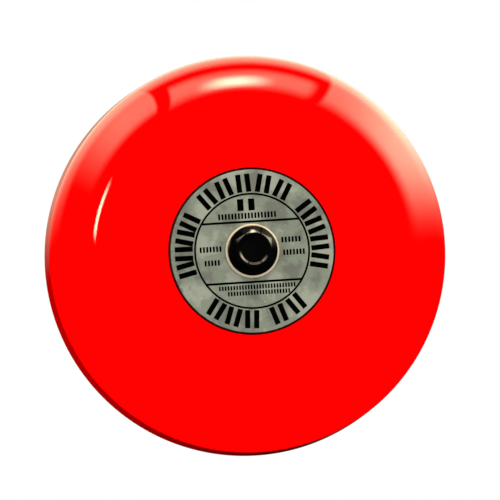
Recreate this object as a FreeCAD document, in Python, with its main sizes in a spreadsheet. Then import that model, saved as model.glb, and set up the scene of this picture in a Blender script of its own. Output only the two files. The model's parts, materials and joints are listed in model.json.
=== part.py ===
"""A six-inch, 24 V DC motor-driven fire alarm bell, built piece by piece as a parametric document.

The wall is the XZ plane and the bell stands off it towards -Y, with +Z up. Every height below is a
distance from the wall, so a height h lies at y = -h. The origin is on the bell's axis, on the wall.

A die-cast base holds a small motor low down on its axis of symmetry. The motor spins a flywheel that
carries a free-swinging hammer, which strikes the inside of the gong once a turn. The gong sits on a
centre post and is held by one bolt.
"""
import FreeCAD, Part
import math
import os

import Sketcher
from FreeCAD import Placement, Rotation, Vector

# Driving dimensions in millimetres and degrees: alias, value, meaning.
DRIVING = (
    ("rim_radius", 75.0, "gong, outer radius at the rim"),
    ("rim_height", 14.0, "gong, height of the rim above the wall"),
    ("front_height", 54.0, "gong, height of its flat front face"),
    ("gong_wall", 1.6, "gong, sheet thickness"),
    ("wall_draft", 4.0, "gong, taper of the side wall"),
    ("shoulder_radius", 20.0, "gong, outer radius of the rounded shoulder"),
    ("crown_radius", 250.0, "gong, radius of the slight crown round the flat"),
    ("crown_angle", 5.3, "gong, slope where the crown meets the shoulder"),
    ("gong_hole", 6.5, "gong, radius of the centre hole"),
    ("plate_radius", 30.0, "nameplate, outer radius"),
    ("plate_hole", 9.5, "nameplate, radius of its hole"),
    ("plate_thick", 0.4, "nameplate, thickness"),
    ("base_radius", 57.0, "base, outer radius of the drum"),
    ("base_wall", 4.0, "base, wall thickness of the drum"),
    ("base_height", 23.5, "base, height of the drum's open end"),
    ("floor_thick", 4.0, "base, thickness of the floor"),
    ("flange_radius", 59.0, "base, radius of the foot flange"),
    ("ear_pitch", 63.0, "base, radius of the circle of wall screw holes"),
    ("ear_radius", 6.5, "base, radius of each ear's round end"),
    ("ear_hole", 2.75, "base, radius of each wall screw hole"),
    ("boss_radius", 14.0, "base, radius of the centre boss"),
    ("boss_height", 10.0, "base, height of the centre boss"),
    ("nut_well", 10.5, "base, radius of the well for the post nut"),
    ("nut_well_deep", 6.5, "base, depth of the well for the post nut"),
    ("pillar_pitch", 49.5, "base, radius of the circle of cover screws"),
    ("pillar_radius", 4.5, "base, radius of each cover screw pillar"),
    ("gasket_inner", 50.5, "wall gasket groove, inner radius"),
    ("gasket_outer", 54.5, "wall gasket groove, outer radius"),
    ("gasket_deep", 1.6, "wall gasket groove, depth"),
    ("seal_pitch", 55.0, "cover seal, radius of its circle"),
    ("seal_width", 1.6, "cover seal, width of its section"),
    ("seal_deep", 1.4, "cover seal, depth of its groove"),
    ("cover_thick", 2.5, "cover, thickness"),
    ("post_radius", 5.9, "centre post, radius of the round part"),
    ("post_flats", 12.0, "centre post, width across its spanner flats"),
    ("post_shoulder", 48.4, "centre post, height of the shoulder under the gong"),
    ("spigot_radius", 5.2, "centre post, radius of the spigot in the gong"),
    ("stud_radius", 4.0, "M8 thread, major radius"),
    ("thread_pitch", 1.25, "M8 thread, pitch"),
    ("cushion_thick", 2.5, "rubber cushion behind the gong, thickness"),
    ("cushion_radius", 11.0, "rubber cushion behind the gong, radius"),
    ("washer_radius", 9.8, "bolt washer, outer radius"),
    ("washer_thick", 1.2, "bolt washer, thickness"),
    ("bolt_flange", 9.1, "centre bolt, radius of the flange"),
    ("head_flats", 13.0, "centre bolt, width across the hexagon's flats"),
    ("head_rise", 8.0, "centre bolt, height of the head with its flange"),
    ("head_turn", 33.0, "centre bolt, how far the hexagon is turned at rest"),
    ("shank_length", 20.0, "centre bolt, length under the head"),
    ("motor_drop", 40.0, "motor axis, distance below the bell's axis"),
    ("motor_radius", 12.0, "motor, outer radius of the can"),
    ("motor_rear", 8.0, "motor, height of the rear face of its end cap"),
    ("shaft_radius", 1.0, "motor, shaft radius"),
    ("running_gap", 0.05, "radial clearance of a shaft in its bore"),
    ("wheel_radius", 17.0, "hammer wheel, radius of the disc"),
    ("wheel_height", 27.6, "hammer wheel, height of the disc's rear face"),
    ("wheel_thick", 1.8, "hammer wheel, thickness of the disc"),
    ("pin_throw", 12.5, "hammer pin, distance from the motor axis"),
    ("pin_radius", 1.5, "hammer pin, radius"),
    ("hammer_height", 34.5, "hammer, height of its middle plane"),
    ("hammer_thick", 4.0, "hammer arm, thickness"),
    ("hammer_reach", 14.25, "hammer, distance from its pin to the ball's centre"),
    ("ball_radius", 4.8, "hammer, radius of the ball"),
    ("neck_half", 1.8, "hammer arm, half its width"),
    ("stop_throw", 7.0, "hammer stops, distance from the hammer pin"),
    ("stop_radius", 1.2, "hammer stops, radius"),
    ("swing_limit", 75.0, "hammer, swing to each stop"),
    ("board_half", 22.0, "circuit board, half its width"),
    ("board_low", 21.0, "circuit board, lower edge above the bell's axis"),
    ("board_high", 45.0, "circuit board, upper edge above the bell's axis"),
    ("board_height", 12.0, "circuit board, height of its rear face"),
    ("board_thick", 1.6, "circuit board, thickness"),
    ("inlet_offset", 31.0, "cable inlet, distance from the bell's axis"),
    ("inlet_bore", 3.5, "cable inlet, radius of the grommet's bore"),
)

PARTS_FOLDER = "parts"
TURN = 360.0
SCREW_COUNT = 4


class Size:
    """A dimension that knows both its value and the spreadsheet formula that gives it."""

    def __init__(self, value, formula):
        self.value = value
        self.formula = formula

    def _join(self, other, sign, value, swapped=False):
        other = as_size(other)
        first, second = (other, self) if swapped else (self, other)
        return Size(value(first.value, second.value), f"({first.formula} {sign} {second.formula})")

    def __add__(self, other):
        return self._join(other, "+", lambda a, b: a + b)

    def __radd__(self, other):
        return self._join(other, "+", lambda a, b: a + b, swapped=True)

    def __sub__(self, other):
        return self._join(other, "-", lambda a, b: a - b)

    def __rsub__(self, other):
        return self._join(other, "-", lambda a, b: a - b, swapped=True)

    def __mul__(self, other):
        return self._join(other, "*", lambda a, b: a * b)

    def __rmul__(self, other):
        return self._join(other, "*", lambda a, b: a * b, swapped=True)

    def __truediv__(self, other):
        return self._join(other, "/", lambda a, b: a / b)

    def __neg__(self):
        return self * -1.0


def as_size(number):
    """A Size as it is, or a plain number as a Size."""
    return number if isinstance(number, Size) else Size(float(number), repr(float(number)))


def sine(angle):
    """The sine of an angle in degrees."""
    angle = as_size(angle)
    return Size(math.sin(math.radians(angle.value)), f"sin({angle.formula})")


def cosine(angle):
    """The cosine of an angle in degrees."""
    angle = as_size(angle)
    return Size(math.cos(math.radians(angle.value)), f"cos({angle.formula})")


def tangent(angle):
    """The tangent of an angle in degrees."""
    angle = as_size(angle)
    return Size(math.tan(math.radians(angle.value)), f"tan({angle.formula})")


def make_sheet(doc):
    """Writes the driving dimensions to a spreadsheet and returns them by alias."""
    sheet = doc.addObject("Spreadsheet::Sheet", "sizes")
    for row, (alias, value, meaning) in enumerate(DRIVING, start=1):
        sheet.set(f"A{row}", meaning)
        sheet.set(f"B{row}", str(value))
        sheet.setAlias(f"B{row}", alias)
    doc.recompute()
    return {alias: Size(value, f"sizes.{alias}") for alias, value, _ in DRIVING}


doc = FreeCAD.newDocument("fire_alarm_bell")
dim = make_sheet(doc)

# Heights and radii that several pieces share.
gong_back = dim["front_height"] - dim["gong_wall"]
cover_front = dim["base_height"] + dim["cover_thick"]
drum_inner = dim["base_radius"] - dim["base_wall"]
wheel_front = dim["wheel_height"] + dim["wheel_thick"]
hammer_rear = dim["hammer_height"] - dim["hammer_thick"] / 2
hammer_front = dim["hammer_height"] + dim["hammer_thick"] / 2
board_front = dim["board_height"] + dim["board_thick"]
washer_rear = dim["front_height"] + 1.0
head_rear = washer_rear + dim["washer_thick"]
motor_z = -dim["motor_drop"]
pin_z = motor_z - dim["pin_throw"]


# ---------------------------------------------------------------- drawing and shaping tools


def bind(thing, path, size):
    """Binds one property of an object to the formula of a size."""
    thing.setExpression(path, as_size(size).formula)


def new_body(label):
    """An empty body with this label."""
    return doc.addObject("PartDesign::Body", label)


def origin_feature(body, role):
    """One of the body's own planes or axes."""
    return next(f for f in body.Origin.OriginFeatures if f.Role == role)


def new_sketch(body, plane, lift=0.0, turn=0.0):
    """A sketch on one of the body's origin planes, lifted along its normal and turned about it."""
    sketch = body.newObject("Sketcher::SketchObject", f"{body.Name}_sketch")
    sketch.AttachmentSupport = [(origin_feature(body, plane), "")]
    sketch.MapMode = "FlatFace"
    sketch.AttachmentOffset = Placement(Vector(), Rotation(Vector(0, 0, 1), turn))
    bind(sketch, "AttachmentOffset.Base.z", lift)
    return sketch


def pin_point(sketch, curve, end, x, y):
    """Fixes a curve's end at x, y from the sketch's origin."""
    for kind, size in (("DistanceX", as_size(x)), ("DistanceY", as_size(y))):
        place = sketch.addConstraint(Sketcher.Constraint(kind, -1, 1, curve, end, size.value))
        bind(sketch, f"Constraints[{place}]", size)


def arc_between(start, end, radius):
    """The arc from start to end. A positive radius turns left on the way, a negative one right."""
    chord = end - start
    left = Vector(-chord.y, chord.x, 0).normalize()
    rise = math.sqrt(max(radius * radius - chord.Length**2 / 4, 0.0))
    centre = (start + end) / 2 + left * math.copysign(rise, radius)
    first, last = (start, end) if radius > 0 else (end, start)
    angles = [math.atan2(p.y - centre.y, p.x - centre.x) for p in (first, last)]
    circle = Part.Circle(centre, Vector(0, 0, 1), abs(radius))
    return Part.ArcOfCircle(circle, angles[0], angles[1])


def draw_outline(sketch, corners):
    """Draws a closed outline. A corner is (x, y), or (x, y, radius) where an arc arrives at it."""
    count = len(corners)
    points = [Vector(as_size(c[0]).value, as_size(c[1]).value, 0) for c in corners]
    for index, start in enumerate(points):
        goal = (index + 1) % count
        corner = corners[goal]
        if len(corner) == 2:
            curve = sketch.addGeometry(Part.LineSegment(start, points[goal]), False)
            arrival, departure = 2, 1
        else:
            radius = as_size(corner[2])
            arc = arc_between(start, points[goal], radius.value)
            curve = sketch.addGeometry(arc, False)
            arrival, departure = (2, 1) if radius.value > 0 else (1, 2)
        pin_point(sketch, curve, arrival, corner[0], corner[1])
        pin_point(sketch, curve, departure, corners[index][0], corners[index][1])
        if len(corner) == 3 and abs((points[goal] - start).Length - 2 * abs(radius.value)) > 1e-6:
            size = radius if radius.value > 0 else -radius
            place = sketch.addConstraint(Sketcher.Constraint("Radius", curve, size.value))
            bind(sketch, f"Constraints[{place}]", size)


def draw_circle(sketch, radius, x=0.0, y=0.0):
    """Draws a circle of this radius about x, y."""
    radius = as_size(radius)
    centre = Vector(as_size(x).value, as_size(y).value, 0)
    curve = sketch.addGeometry(Part.Circle(centre, Vector(0, 0, 1), radius.value), False)
    pin_point(sketch, curve, 3, x, y)
    place = sketch.addConstraint(Sketcher.Constraint("Radius", curve, radius.value))
    bind(sketch, f"Constraints[{place}]", radius)


def hexagon(across_flats):
    """The six corners of a hexagon about the origin."""
    corner = across_flats / math.sqrt(3)
    return [(corner * cosine(60 * k), corner * sine(60 * k)) for k in range(6)]


def rectangle(left, low, right, high):
    """The four corners of a rectangle."""
    return [(left, low), (right, low), (right, high), (left, high)]


def spin(body, outline):
    """Adds an outline of (radius, height) corners to the body, turned about the Y axis."""
    sketch = new_sketch(body, "XY_Plane")
    corners = [(c[0], -as_size(c[1]), *(-as_size(r) for r in c[2:])) for c in outline]
    draw_outline(sketch, corners)
    turned = body.newObject("PartDesign::Revolution", f"{body.Name}_turned")
    turned.Profile = sketch
    turned.ReferenceAxis = (sketch, ["V_Axis"])
    turned.Angle = TURN
    return turned


def turn_away(body, outline):
    """Cuts an outline of (radius, height) corners out of the body, turned about the Y axis."""
    sketch = new_sketch(body, "XY_Plane")
    draw_outline(sketch, [(c[0], -as_size(c[1])) for c in outline])
    groove = body.newObject("PartDesign::Groove", f"{body.Name}_groove")
    groove.Profile = sketch
    groove.ReferenceAxis = (sketch, ["V_Axis"])
    groove.Angle = TURN
    return groove


def pad(body, outline, bottom, top, turn=0.0):
    """Adds an outline drawn in X and Z to the body, from one height to another."""
    sketch = new_sketch(body, "XZ_Plane", bottom, turn)
    draw_outline(sketch, outline)
    return _extrude(body, sketch, "PartDesign::Pad", as_size(top) - bottom)


def pad_disc(body, radius, x, z, bottom, top):
    """Adds a disc to the body, from one height to another."""
    sketch = new_sketch(body, "XZ_Plane", bottom)
    draw_circle(sketch, radius, x, z)
    return _extrude(body, sketch, "PartDesign::Pad", as_size(top) - bottom)


def cut(body, outline, bottom, top, turn=0.0):
    """Cuts an outline drawn in X and Z out of the body, from one height to another."""
    sketch = new_sketch(body, "XZ_Plane", bottom, turn)
    draw_outline(sketch, outline)
    return _extrude(body, sketch, "PartDesign::Pocket", as_size(top) - bottom)


def cut_disc(body, radius, x, z, bottom, top):
    """Cuts a round hole out of the body, from one height to another."""
    sketch = new_sketch(body, "XZ_Plane", bottom)
    draw_circle(sketch, radius, x, z)
    return _extrude(body, sketch, "PartDesign::Pocket", as_size(top) - bottom)


def _extrude(body, sketch, kind, length):
    feature = body.newObject(kind, f"{body.Name}_{kind[-3:].lower()}")
    feature.Profile = sketch
    feature.Reversed = kind.endswith("Pocket")
    feature.Length = length.value
    bind(feature, "Length", length)
    return feature


def around(body, features, count):
    """Repeats features evenly about the body's Y axis."""
    pattern = body.newObject("PartDesign::PolarPattern", f"{body.Name}_ring")
    pattern.Originals = features
    pattern.Axis = (origin_feature(body, "Y_Axis"), [""])
    pattern.Angle = TURN
    pattern.Occurrences = count
    body.Tip = pattern
    return pattern


def along(body, feature, count, length):
    """Repeats a feature in a row down the body's Y axis, away from the gong's front."""
    pattern = body.newObject("PartDesign::LinearPattern", f"{body.Name}_row")
    pattern.Originals = [feature]
    pattern.Direction = (origin_feature(body, "Y_Axis"), [""])
    pattern.Occurrences = count
    pattern.Length = length.value
    bind(pattern, "Length", length)
    body.Tip = pattern
    return pattern


def move(thing, x=0.0, height=0.0, z=0.0, rotation=None):
    """Places a sub-part: a distance right, a height above the wall and a distance up."""
    turned = rotation or Rotation()
    thing.Placement = Placement(Vector(), turned)
    for path, size in (("x", as_size(x)), ("y", -as_size(height)), ("z", as_size(z))):
        bind(thing, f"Placement.Base.{path}", size)


def turned_piece(label, outline, x=0.0, z=0.0):
    """A sub-part turned about an axis square to the wall."""
    body = new_body(label)
    spin(body, outline)
    move(body, x, 0.0, z)
    return body


def ring(label, inner, outer, bottom, top, x=0.0, z=0.0):
    """A flat ring square to the wall's normal."""
    return turned_piece(label, [(inner, bottom), (outer, bottom), (outer, top), (inner, top)], x, z)


def hexagonal(label, blank, across_flats, bottom, top):
    """A turned blank whose outside is milled to a hexagon."""
    prism = new_body(f"{label}_flats")
    pad(prism, hexagon(across_flats), bottom, top)
    common = doc.addObject("Part::Common", label)
    common.Base = blank
    common.Tool = prism
    return common


# ---------------------------------------------------------------- gong and what holds it


def gong_outline():
    """The gong's section: flat seat, slight crown, round shoulder, tapered wall, plain rim."""
    front, wall, shoulder = dim["front_height"], dim["gong_wall"], dim["shoulder_radius"]
    crown, slope, draft = dim["crown_radius"], dim["crown_angle"], dim["wall_draft"]
    shoulder_mid = front - crown + (crown - shoulder) * cosine(slope)
    wall_run = (shoulder_mid + shoulder * sine(draft) - dim["rim_height"]) * tangent(draft)
    shoulder_centre = dim["rim_radius"] - wall_run - shoulder * cosine(draft)
    seat = shoulder_centre - (crown - shoulder) * sine(slope)
    inner_shoulder, inner_crown = shoulder - wall, crown - wall

    def on_shoulder(radius, angle_sine, angle_cosine):
        return shoulder_centre + radius * angle_sine, shoulder_mid + radius * angle_cosine

    steep = (cosine(draft), sine(draft))
    shallow = (sine(slope), cosine(slope))
    return [
        (dim["gong_hole"], front),
        (seat, front),
        (*on_shoulder(shoulder, *shallow), -crown),
        (*on_shoulder(shoulder, *steep), -shoulder),
        (dim["rim_radius"], dim["rim_height"]),
        (dim["rim_radius"] - wall / cosine(draft), dim["rim_height"]),
        on_shoulder(inner_shoulder, *steep),
        (*on_shoulder(inner_shoulder, *shallow), inner_shoulder),
        (seat, front - wall, inner_crown),
        (dim["gong_hole"], front - wall),
    ]


def make_gong():
    """The pressed steel gong and the nameplate stuck to its flat."""
    gong = turned_piece("gong", gong_outline())
    plate = ring(
        "nameplate",
        dim["plate_hole"],
        dim["plate_radius"],
        dim["front_height"],
        dim["front_height"] + dim["plate_thick"],
    )
    flange_rear = gong_back - 1.5
    sleeve = dim["gong_hole"] - dim["running_gap"]
    bore = dim["spigot_radius"] + 0.1
    bush = turned_piece(
        "gong_bush",
        [
            (bore, flange_rear),
            (dim["cushion_radius"], flange_rear),
            (dim["cushion_radius"], gong_back),
            (sleeve, gong_back),
            (sleeve, dim["front_height"] - 0.1),
            (bore, dim["front_height"] - 0.1),
        ],
    )
    return [gong, plate, bush]


def make_post():
    """The centre post, its fixing nut and washer behind the base, and the cushion on its shoulder."""
    spigot_end = dim["front_height"] - 0.3
    flats_start = dim["post_shoulder"] - 10.0
    blank_radius = dim["post_flats"] / math.sqrt(3) - 0.2
    bore = dim["stud_radius"] + dim["running_gap"]
    bore_floor = dim["boss_height"] + dim["shank_length"]
    blank = turned_piece(
        "centre_post_blank",
        [
            (0.0, 0.7),
            (dim["stud_radius"] - 0.6, 0.7),
            (dim["stud_radius"], 1.3),
            (dim["stud_radius"], dim["boss_height"]),
            (dim["post_radius"], dim["boss_height"]),
            (dim["post_radius"], flats_start - 0.5),
            (blank_radius, flats_start),
            (blank_radius, dim["post_shoulder"] - 0.5),
            (blank_radius - 0.8, dim["post_shoulder"]),
            (dim["spigot_radius"], dim["post_shoulder"]),
            (dim["spigot_radius"], spigot_end - 0.4),
            (dim["spigot_radius"] - 0.4, spigot_end),
            (bore, spigot_end),
            (bore, bore_floor + 2.3),
            (0.0, bore_floor),
        ],
    )
    post = hexagonal("centre_post", blank, dim["post_flats"], 0.0, dim["front_height"])
    cushion = ring(
        "post_cushion",
        dim["spigot_radius"] + 0.1,
        dim["cushion_radius"],
        dim["post_shoulder"],
        dim["post_shoulder"] + dim["cushion_thick"],
    )
    washer_thick = 1.4
    nut_flats = 13.0
    stud_bore = dim["stud_radius"] + dim["running_gap"]
    well = dim["nut_well_deep"]
    washer = ring("post_washer", stud_bore, 8.5, well - washer_thick, well)
    nut_rear, nut_front = 1.1, well - washer_thick
    nut_corner = nut_flats / math.sqrt(3)
    nut_blank = turned_piece(
        "post_nut_blank",
        [
            (stud_bore, nut_rear),
            (nut_corner - 0.8, nut_rear),
            (nut_corner, nut_rear + 0.5),
            (nut_corner, nut_front),
            (stud_bore, nut_front),
        ],
    )
    nut = hexagonal("post_nut", nut_blank, as_size(nut_flats), 0.0, nut_front)
    return [post, cushion, washer, nut]


def make_bolt():
    """The centre bolt, and the washer and seal under its head."""
    bore = dim["stud_radius"] + 0.3
    seal = ring("front_cushion", bore, dim["washer_radius"] - 0.5, dim["front_height"], washer_rear)
    edge = 0.2
    washer = turned_piece(
        "bolt_washer",
        [
            (bore, washer_rear),
            (dim["washer_radius"], washer_rear),
            (dim["washer_radius"], head_rear - edge),
            (dim["washer_radius"] - edge, head_rear),
            (bore, head_rear),
        ],
    )
    return [seal, washer, make_flange_bolt()]


def make_flange_bolt():
    """The M8 flange bolt: hexagon with chamfered corners and a dished top, flange, threaded shank."""
    flange, top = dim["bolt_flange"], head_rear + dim["head_rise"]
    flange_edge, flange_rise, edge = 1.3, 2.1, 0.3
    shank_end = head_rear - dim["shank_length"]
    crest, tip = dim["stud_radius"], 0.8
    bolt = new_body("centre_bolt")
    spin(
        bolt,
        [
            (0.0, shank_end),
            (crest - tip, shank_end),
            (crest, shank_end + tip),
            (crest, head_rear),
            (flange - edge, head_rear),
            (flange, head_rear + edge),
            (flange, head_rear + flange_edge - edge),
            (flange - edge, head_rear + flange_edge, edge),
            (dim["head_flats"] / 2 - 0.2, head_rear + flange_rise),
            (0.0, head_rear + flange_rise),
        ],
    )
    turn = dim["head_turn"].value
    pad(bolt, hexagon(dim["head_flats"]), head_rear + flange_rise - 0.6, top, turn=turn)
    chamfer_start, beyond, chamfer_slope = dim["head_flats"] * 0.475, 8.0, 0.58
    fall = (beyond - chamfer_start) * chamfer_slope
    turn_away(
        bolt,
        [
            (chamfer_start, top),
            (beyond, top - fall),
            (beyond, top + 0.1),
            (chamfer_start, top + 0.1),
        ],
    )
    dish, dish_deep, dish_edge = 4.7, 0.7, 0.9
    turn_away(
        bolt,
        [
            (0.0, top - dish_deep),
            (dish, top - dish_deep),
            (dish + dish_edge, top + 0.1),
            (0.0, top + 0.1),
        ],
    )
    turns = 13
    foot, middle = shank_end + tip + 0.3, dim["thread_pitch"] / 2 - 0.1
    root = crest - 0.65
    ring_groove = turn_away(
        bolt,
        [(crest + 0.1, foot), (crest + 0.1, foot + middle * 2), (root, foot + middle)],
    )
    row = along(bolt, ring_groove, turns, dim["thread_pitch"] * (turns - 1))
    row.Reversed = True
    return bolt


# ---------------------------------------------------------------- base, cover and seals


def make_base():
    """The die-cast base: drum, floor, centre boss, wall ears, cover pillars and cable inlet."""
    base = new_body("base_housing")
    groove_half = dim["seal_width"] / 2 + 0.1
    groove_floor = dim["base_height"] - dim["seal_deep"]
    stud_hole = dim["stud_radius"] + 0.15
    spin(
        base,
        [
            (stud_hole, dim["nut_well_deep"]),
            (dim["nut_well"], dim["nut_well_deep"]),
            (dim["nut_well"], 0.0),
            (dim["gasket_inner"], 0.0),
            (dim["gasket_inner"], dim["gasket_deep"]),
            (dim["gasket_outer"], dim["gasket_deep"]),
            (dim["gasket_outer"], 0.0),
            (dim["flange_radius"], 0.0),
            (dim["flange_radius"], dim["floor_thick"] - 1.0),
            (dim["flange_radius"] - 1.0, dim["floor_thick"]),
            (dim["base_radius"], dim["floor_thick"]),
            (dim["base_radius"], dim["base_height"]),
            (dim["seal_pitch"] + groove_half, dim["base_height"]),
            (dim["seal_pitch"] + groove_half, groove_floor),
            (dim["seal_pitch"] - groove_half, groove_floor),
            (dim["seal_pitch"] - groove_half, dim["base_height"]),
            (drum_inner, dim["base_height"]),
            (drum_inner, dim["floor_thick"]),
            (dim["boss_radius"], dim["floor_thick"]),
            (dim["boss_radius"] - 0.8, dim["boss_height"]),
            (stud_hole, dim["boss_height"]),
        ],
    )
    cut_floor_pockets(base)
    add_ears(base)
    add_pillars(base)
    add_inlet(base)
    for x, z in board_fixings():
        pad_disc(base, 3.2, x, z, dim["floor_thick"] - 1.0, dim["board_height"])
        cut_disc(base, 1.3, x, z, dim["board_height"] - 6.0, dim["board_height"])
    return base


def cut_floor_pockets(base):
    """Shallow pockets in the back of the floor, with a rib left between each two."""
    inner, outer, rib_half = 16.5, 46.0, 1.1
    pockets, deep = 8, 1.8
    half = 180 / pockets
    near = math.degrees(math.asin(rib_half / inner))
    far = math.degrees(math.asin(rib_half / outer))
    outline = [
        (inner * cosine(near - half), inner * sine(near - half), -inner),
        (outer * cosine(far - half), outer * sine(far - half)),
        (outer * cosine(half - far), outer * sine(half - far), outer),
        (inner * cosine(half - near), inner * sine(half - near)),
    ]
    around(base, [cut(base, outline, 0.0, deep)], pockets)


def add_ears(base):
    """Four ears outside the drum, each with a hole for a wall screw."""
    ear, pitch = dim["ear_radius"], dim["ear_pitch"]
    root = dim["gasket_outer"] + 0.5
    outline = [(-ear, root), (ear, root), (ear, pitch), (-ear, pitch, ear)]
    eighth = 45.0
    lug = pad(base, outline, 0.0, dim["floor_thick"], turn=eighth)
    offset = pitch * cosine(eighth)
    hole = cut_disc(base, dim["ear_hole"], -offset, offset, 0.0, dim["floor_thick"])
    around(base, [lug, hole], SCREW_COUNT)


def add_pillars(base):
    """Four pillars inside the drum's wall that take the cover screws."""
    pitch = dim["pillar_pitch"] * cosine(45)
    low = dim["floor_thick"] - 1.0
    pillar = pad_disc(base, dim["pillar_radius"], pitch, pitch, low, dim["base_height"])
    hole = cut_disc(base, 1.7, pitch, pitch, dim["base_height"] - 13.0, dim["base_height"])
    around(base, [pillar, hole], SCREW_COUNT)


def add_inlet(base):
    """The boss in the floor that holds the cable grommet, recessed from behind."""
    x = -dim["inlet_offset"]
    pad_disc(base, 12.5, x, 0.0, 0.0, 5.0)
    cut_disc(base, 11.0, x, 0.0, 0.0, 2.0)
    cut_disc(base, 7.5, x, 0.0, 0.0, 5.0)


def board_fixings():
    """Where the circuit board is screwed down, as x and z."""
    side, low = dim["board_half"] - 3.5, dim["board_low"] + 3.5
    return [(side, low), (-side, low), (as_size(0.0), dim["board_high"] - 3.0)]


def make_seals():
    """The gasket against the wall, the seal under the cover and the collar round the post."""
    gap = 0.1
    wall_gasket = ring(
        "wall_gasket",
        dim["gasket_inner"] + gap,
        dim["gasket_outer"] - gap,
        0.0,
        dim["gasket_deep"],
    )
    half, round_off = dim["seal_width"] / 2, 0.5
    low, high = dim["base_height"] - dim["seal_deep"], dim["base_height"]
    inner, outer = dim["seal_pitch"] - half, dim["seal_pitch"] + half
    cover_seal = turned_piece(
        "cover_seal",
        [
            (inner + round_off, low, round_off),
            (outer - round_off, low),
            (outer, low + round_off, round_off),
            (outer, high - round_off),
            (outer - round_off, high, round_off),
            (inner + round_off, high),
            (inner, high - round_off, round_off),
            (inner, low + round_off),
        ],
    )
    post_seal = turned_piece(
        "post_seal",
        [
            (dim["post_radius"], dim["base_height"] - 1.5),
            (10.0, dim["base_height"] - 1.5),
            (10.0, dim["base_height"]),
            (8.4, dim["base_height"]),
            (8.4, cover_front),
            (9.4, cover_front),
            (8.8, cover_front + 1.2),
            (dim["post_radius"], cover_front + 2.4),
        ],
    )
    return [wall_gasket, cover_seal, post_seal]


def make_cover():
    """The moulded cover over the mechanism, with its post, shaft and screw holes."""
    cover = new_body("mechanism_cover")
    radius, low = dim["base_radius"], dim["base_height"]
    skirt_outer, skirt_inner = drum_inner - 0.2, drum_inner - 1.8
    spin(
        cover,
        [
            (8.5, low),
            (skirt_inner, low),
            (skirt_inner, low - 1.6),
            (skirt_outer, low - 1.6),
            (skirt_outer, low),
            (radius, low),
            (radius, cover_front - 1.0),
            (radius - 1.0, cover_front, 1.0),
            (8.5, cover_front),
        ],
    )
    pitch = dim["pillar_pitch"] * cosine(45)
    notch = cut_disc(cover, dim["pillar_radius"] + 0.3, pitch, pitch, low - 2.0, low)
    hole = cut_disc(cover, 2.2, pitch, pitch, low, cover_front)
    around(cover, [notch, hole], SCREW_COUNT)
    cut_disc(cover, dim["motor_radius"] + 0.4, 0.0, motor_z, low - 2.0, low)
    cut_disc(cover, 5.1, 0.0, motor_z, low, cover_front)
    for side in (-1, 1):
        cut_disc(cover, 1.35, side * 8.0, motor_z, low, cover_front)
        cut_disc(cover, 2.5, side * 8.0, motor_z, cover_front - 1.3, cover_front)
    add_cover_relief(cover)
    return cover


def arch(inner, outer, middle, reach):
    """The outline of an arched band that reaches the same angle either side of its middle."""
    right, left = middle - reach, middle + reach
    return [
        (inner * cosine(right), inner * sine(right), -inner),
        (outer * cosine(right), outer * sine(right)),
        (outer * cosine(left), outer * sine(left), outer),
        (inner * cosine(left), inner * sine(left)),
    ]


def add_cover_relief(cover):
    """The raised ribs over the upper part of the cover, and an arrow that shows which way is up."""
    low, high = cover_front - 0.5, cover_front + 0.8
    near, far, rib = 20.0, 42.0, 1.6
    for inner in (near, far):
        pad(cover, arch(inner, inner + rib, 90, 62), low, high)
    for angle in (-40.0, 40.0):
        bar = rectangle(-rib / 2, near + rib / 2, rib / 2, far + rib / 2)
        pad(cover, bar, low, high, turn=angle)
    shaft_half, head_half, foot, neck, tip = 1.6, 4.5, 26.0, 33.0, 38.5
    arrow = [
        (-shaft_half, foot),
        (shaft_half, foot),
        (shaft_half, neck),
        (head_half, neck),
        (0.0, tip),
        (-head_half, neck),
        (-shaft_half, neck),
    ]
    pad(cover, arrow, low, high)


def make_grommet():
    """The rubber grommet that the supply cable enters through, from behind."""
    bore = dim["inlet_bore"]
    return turned_piece(
        "cable_grommet",
        [
            (bore, 0.4),
            (10.8, 0.4),
            (10.8, 2.0),
            (7.4, 2.0),
            (7.4, 5.0),
            (9.4, 5.0),
            (9.4, 6.2),
            (8.4, 6.8),
            (5.2, 9.0),
            (bore, 9.0),
        ],
        x=-dim["inlet_offset"],
    )


def screw_set(label, places, head_radius, head_rear_height, head_rise, shank_radius, length):
    """A group of identical pan-head screws with a cross recess, each a separate solid."""
    body = new_body(label)
    crown = head_rise * 0.45
    for x, z in places:
        pad_disc(body, shank_radius, x, z, head_rear_height - length, head_rear_height)
        pad_disc(body, head_radius, x, z, head_rear_height, head_rear_height + head_rise)
        arm, half = head_radius * 0.55, head_radius * 0.14
        for wide, tall in ((arm, half), (half, arm)):
            cut(
                body,
                rectangle(x - wide, z - tall, x + wide, z + tall),
                head_rear_height + head_rise - crown - 0.3,
                head_rear_height + head_rise,
            )
    return body


def make_cover_screws():
    """The four screws that hold the cover."""
    pitch = dim["pillar_pitch"] * cosine(45)
    places = [(sx * pitch, sz * pitch) for sx in (-1, 1) for sz in (-1, 1)]
    return screw_set("cover_screws", places, 3.5, cover_front, 2.2, 1.65, 13.0)


# ---------------------------------------------------------------- circuit board


def make_board():
    """The circuit board, its screws and the components on it."""
    board = new_body("circuit_board")
    half, low, high = dim["board_half"], dim["board_low"], dim["board_high"]
    corner, clip = 1.5, 6.0
    outline = [
        (-half + corner, low, corner),
        (half - corner, low),
        (half, low + corner, corner),
        (half, high - clip),
        (half - clip, high),
        (-half + clip, high),
        (-half, high - clip),
        (-half, low + corner),
    ]
    pad(board, outline, dim["board_height"], board_front)
    for x, z in board_fixings():
        cut_disc(board, 1.6, x, z, dim["board_height"], board_front)
    screws = screw_set("board_screws", board_fixings(), 2.7, board_front, 1.6, 1.25, 7.0)
    return [board, screws, *make_terminals(), *make_components()]


def terminal_places():
    """The middles of the four terminals, left to right."""
    pitch, count = 5.0, 4
    return [(k - (count - 1) / 2) * pitch for k in range(count)]


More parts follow.
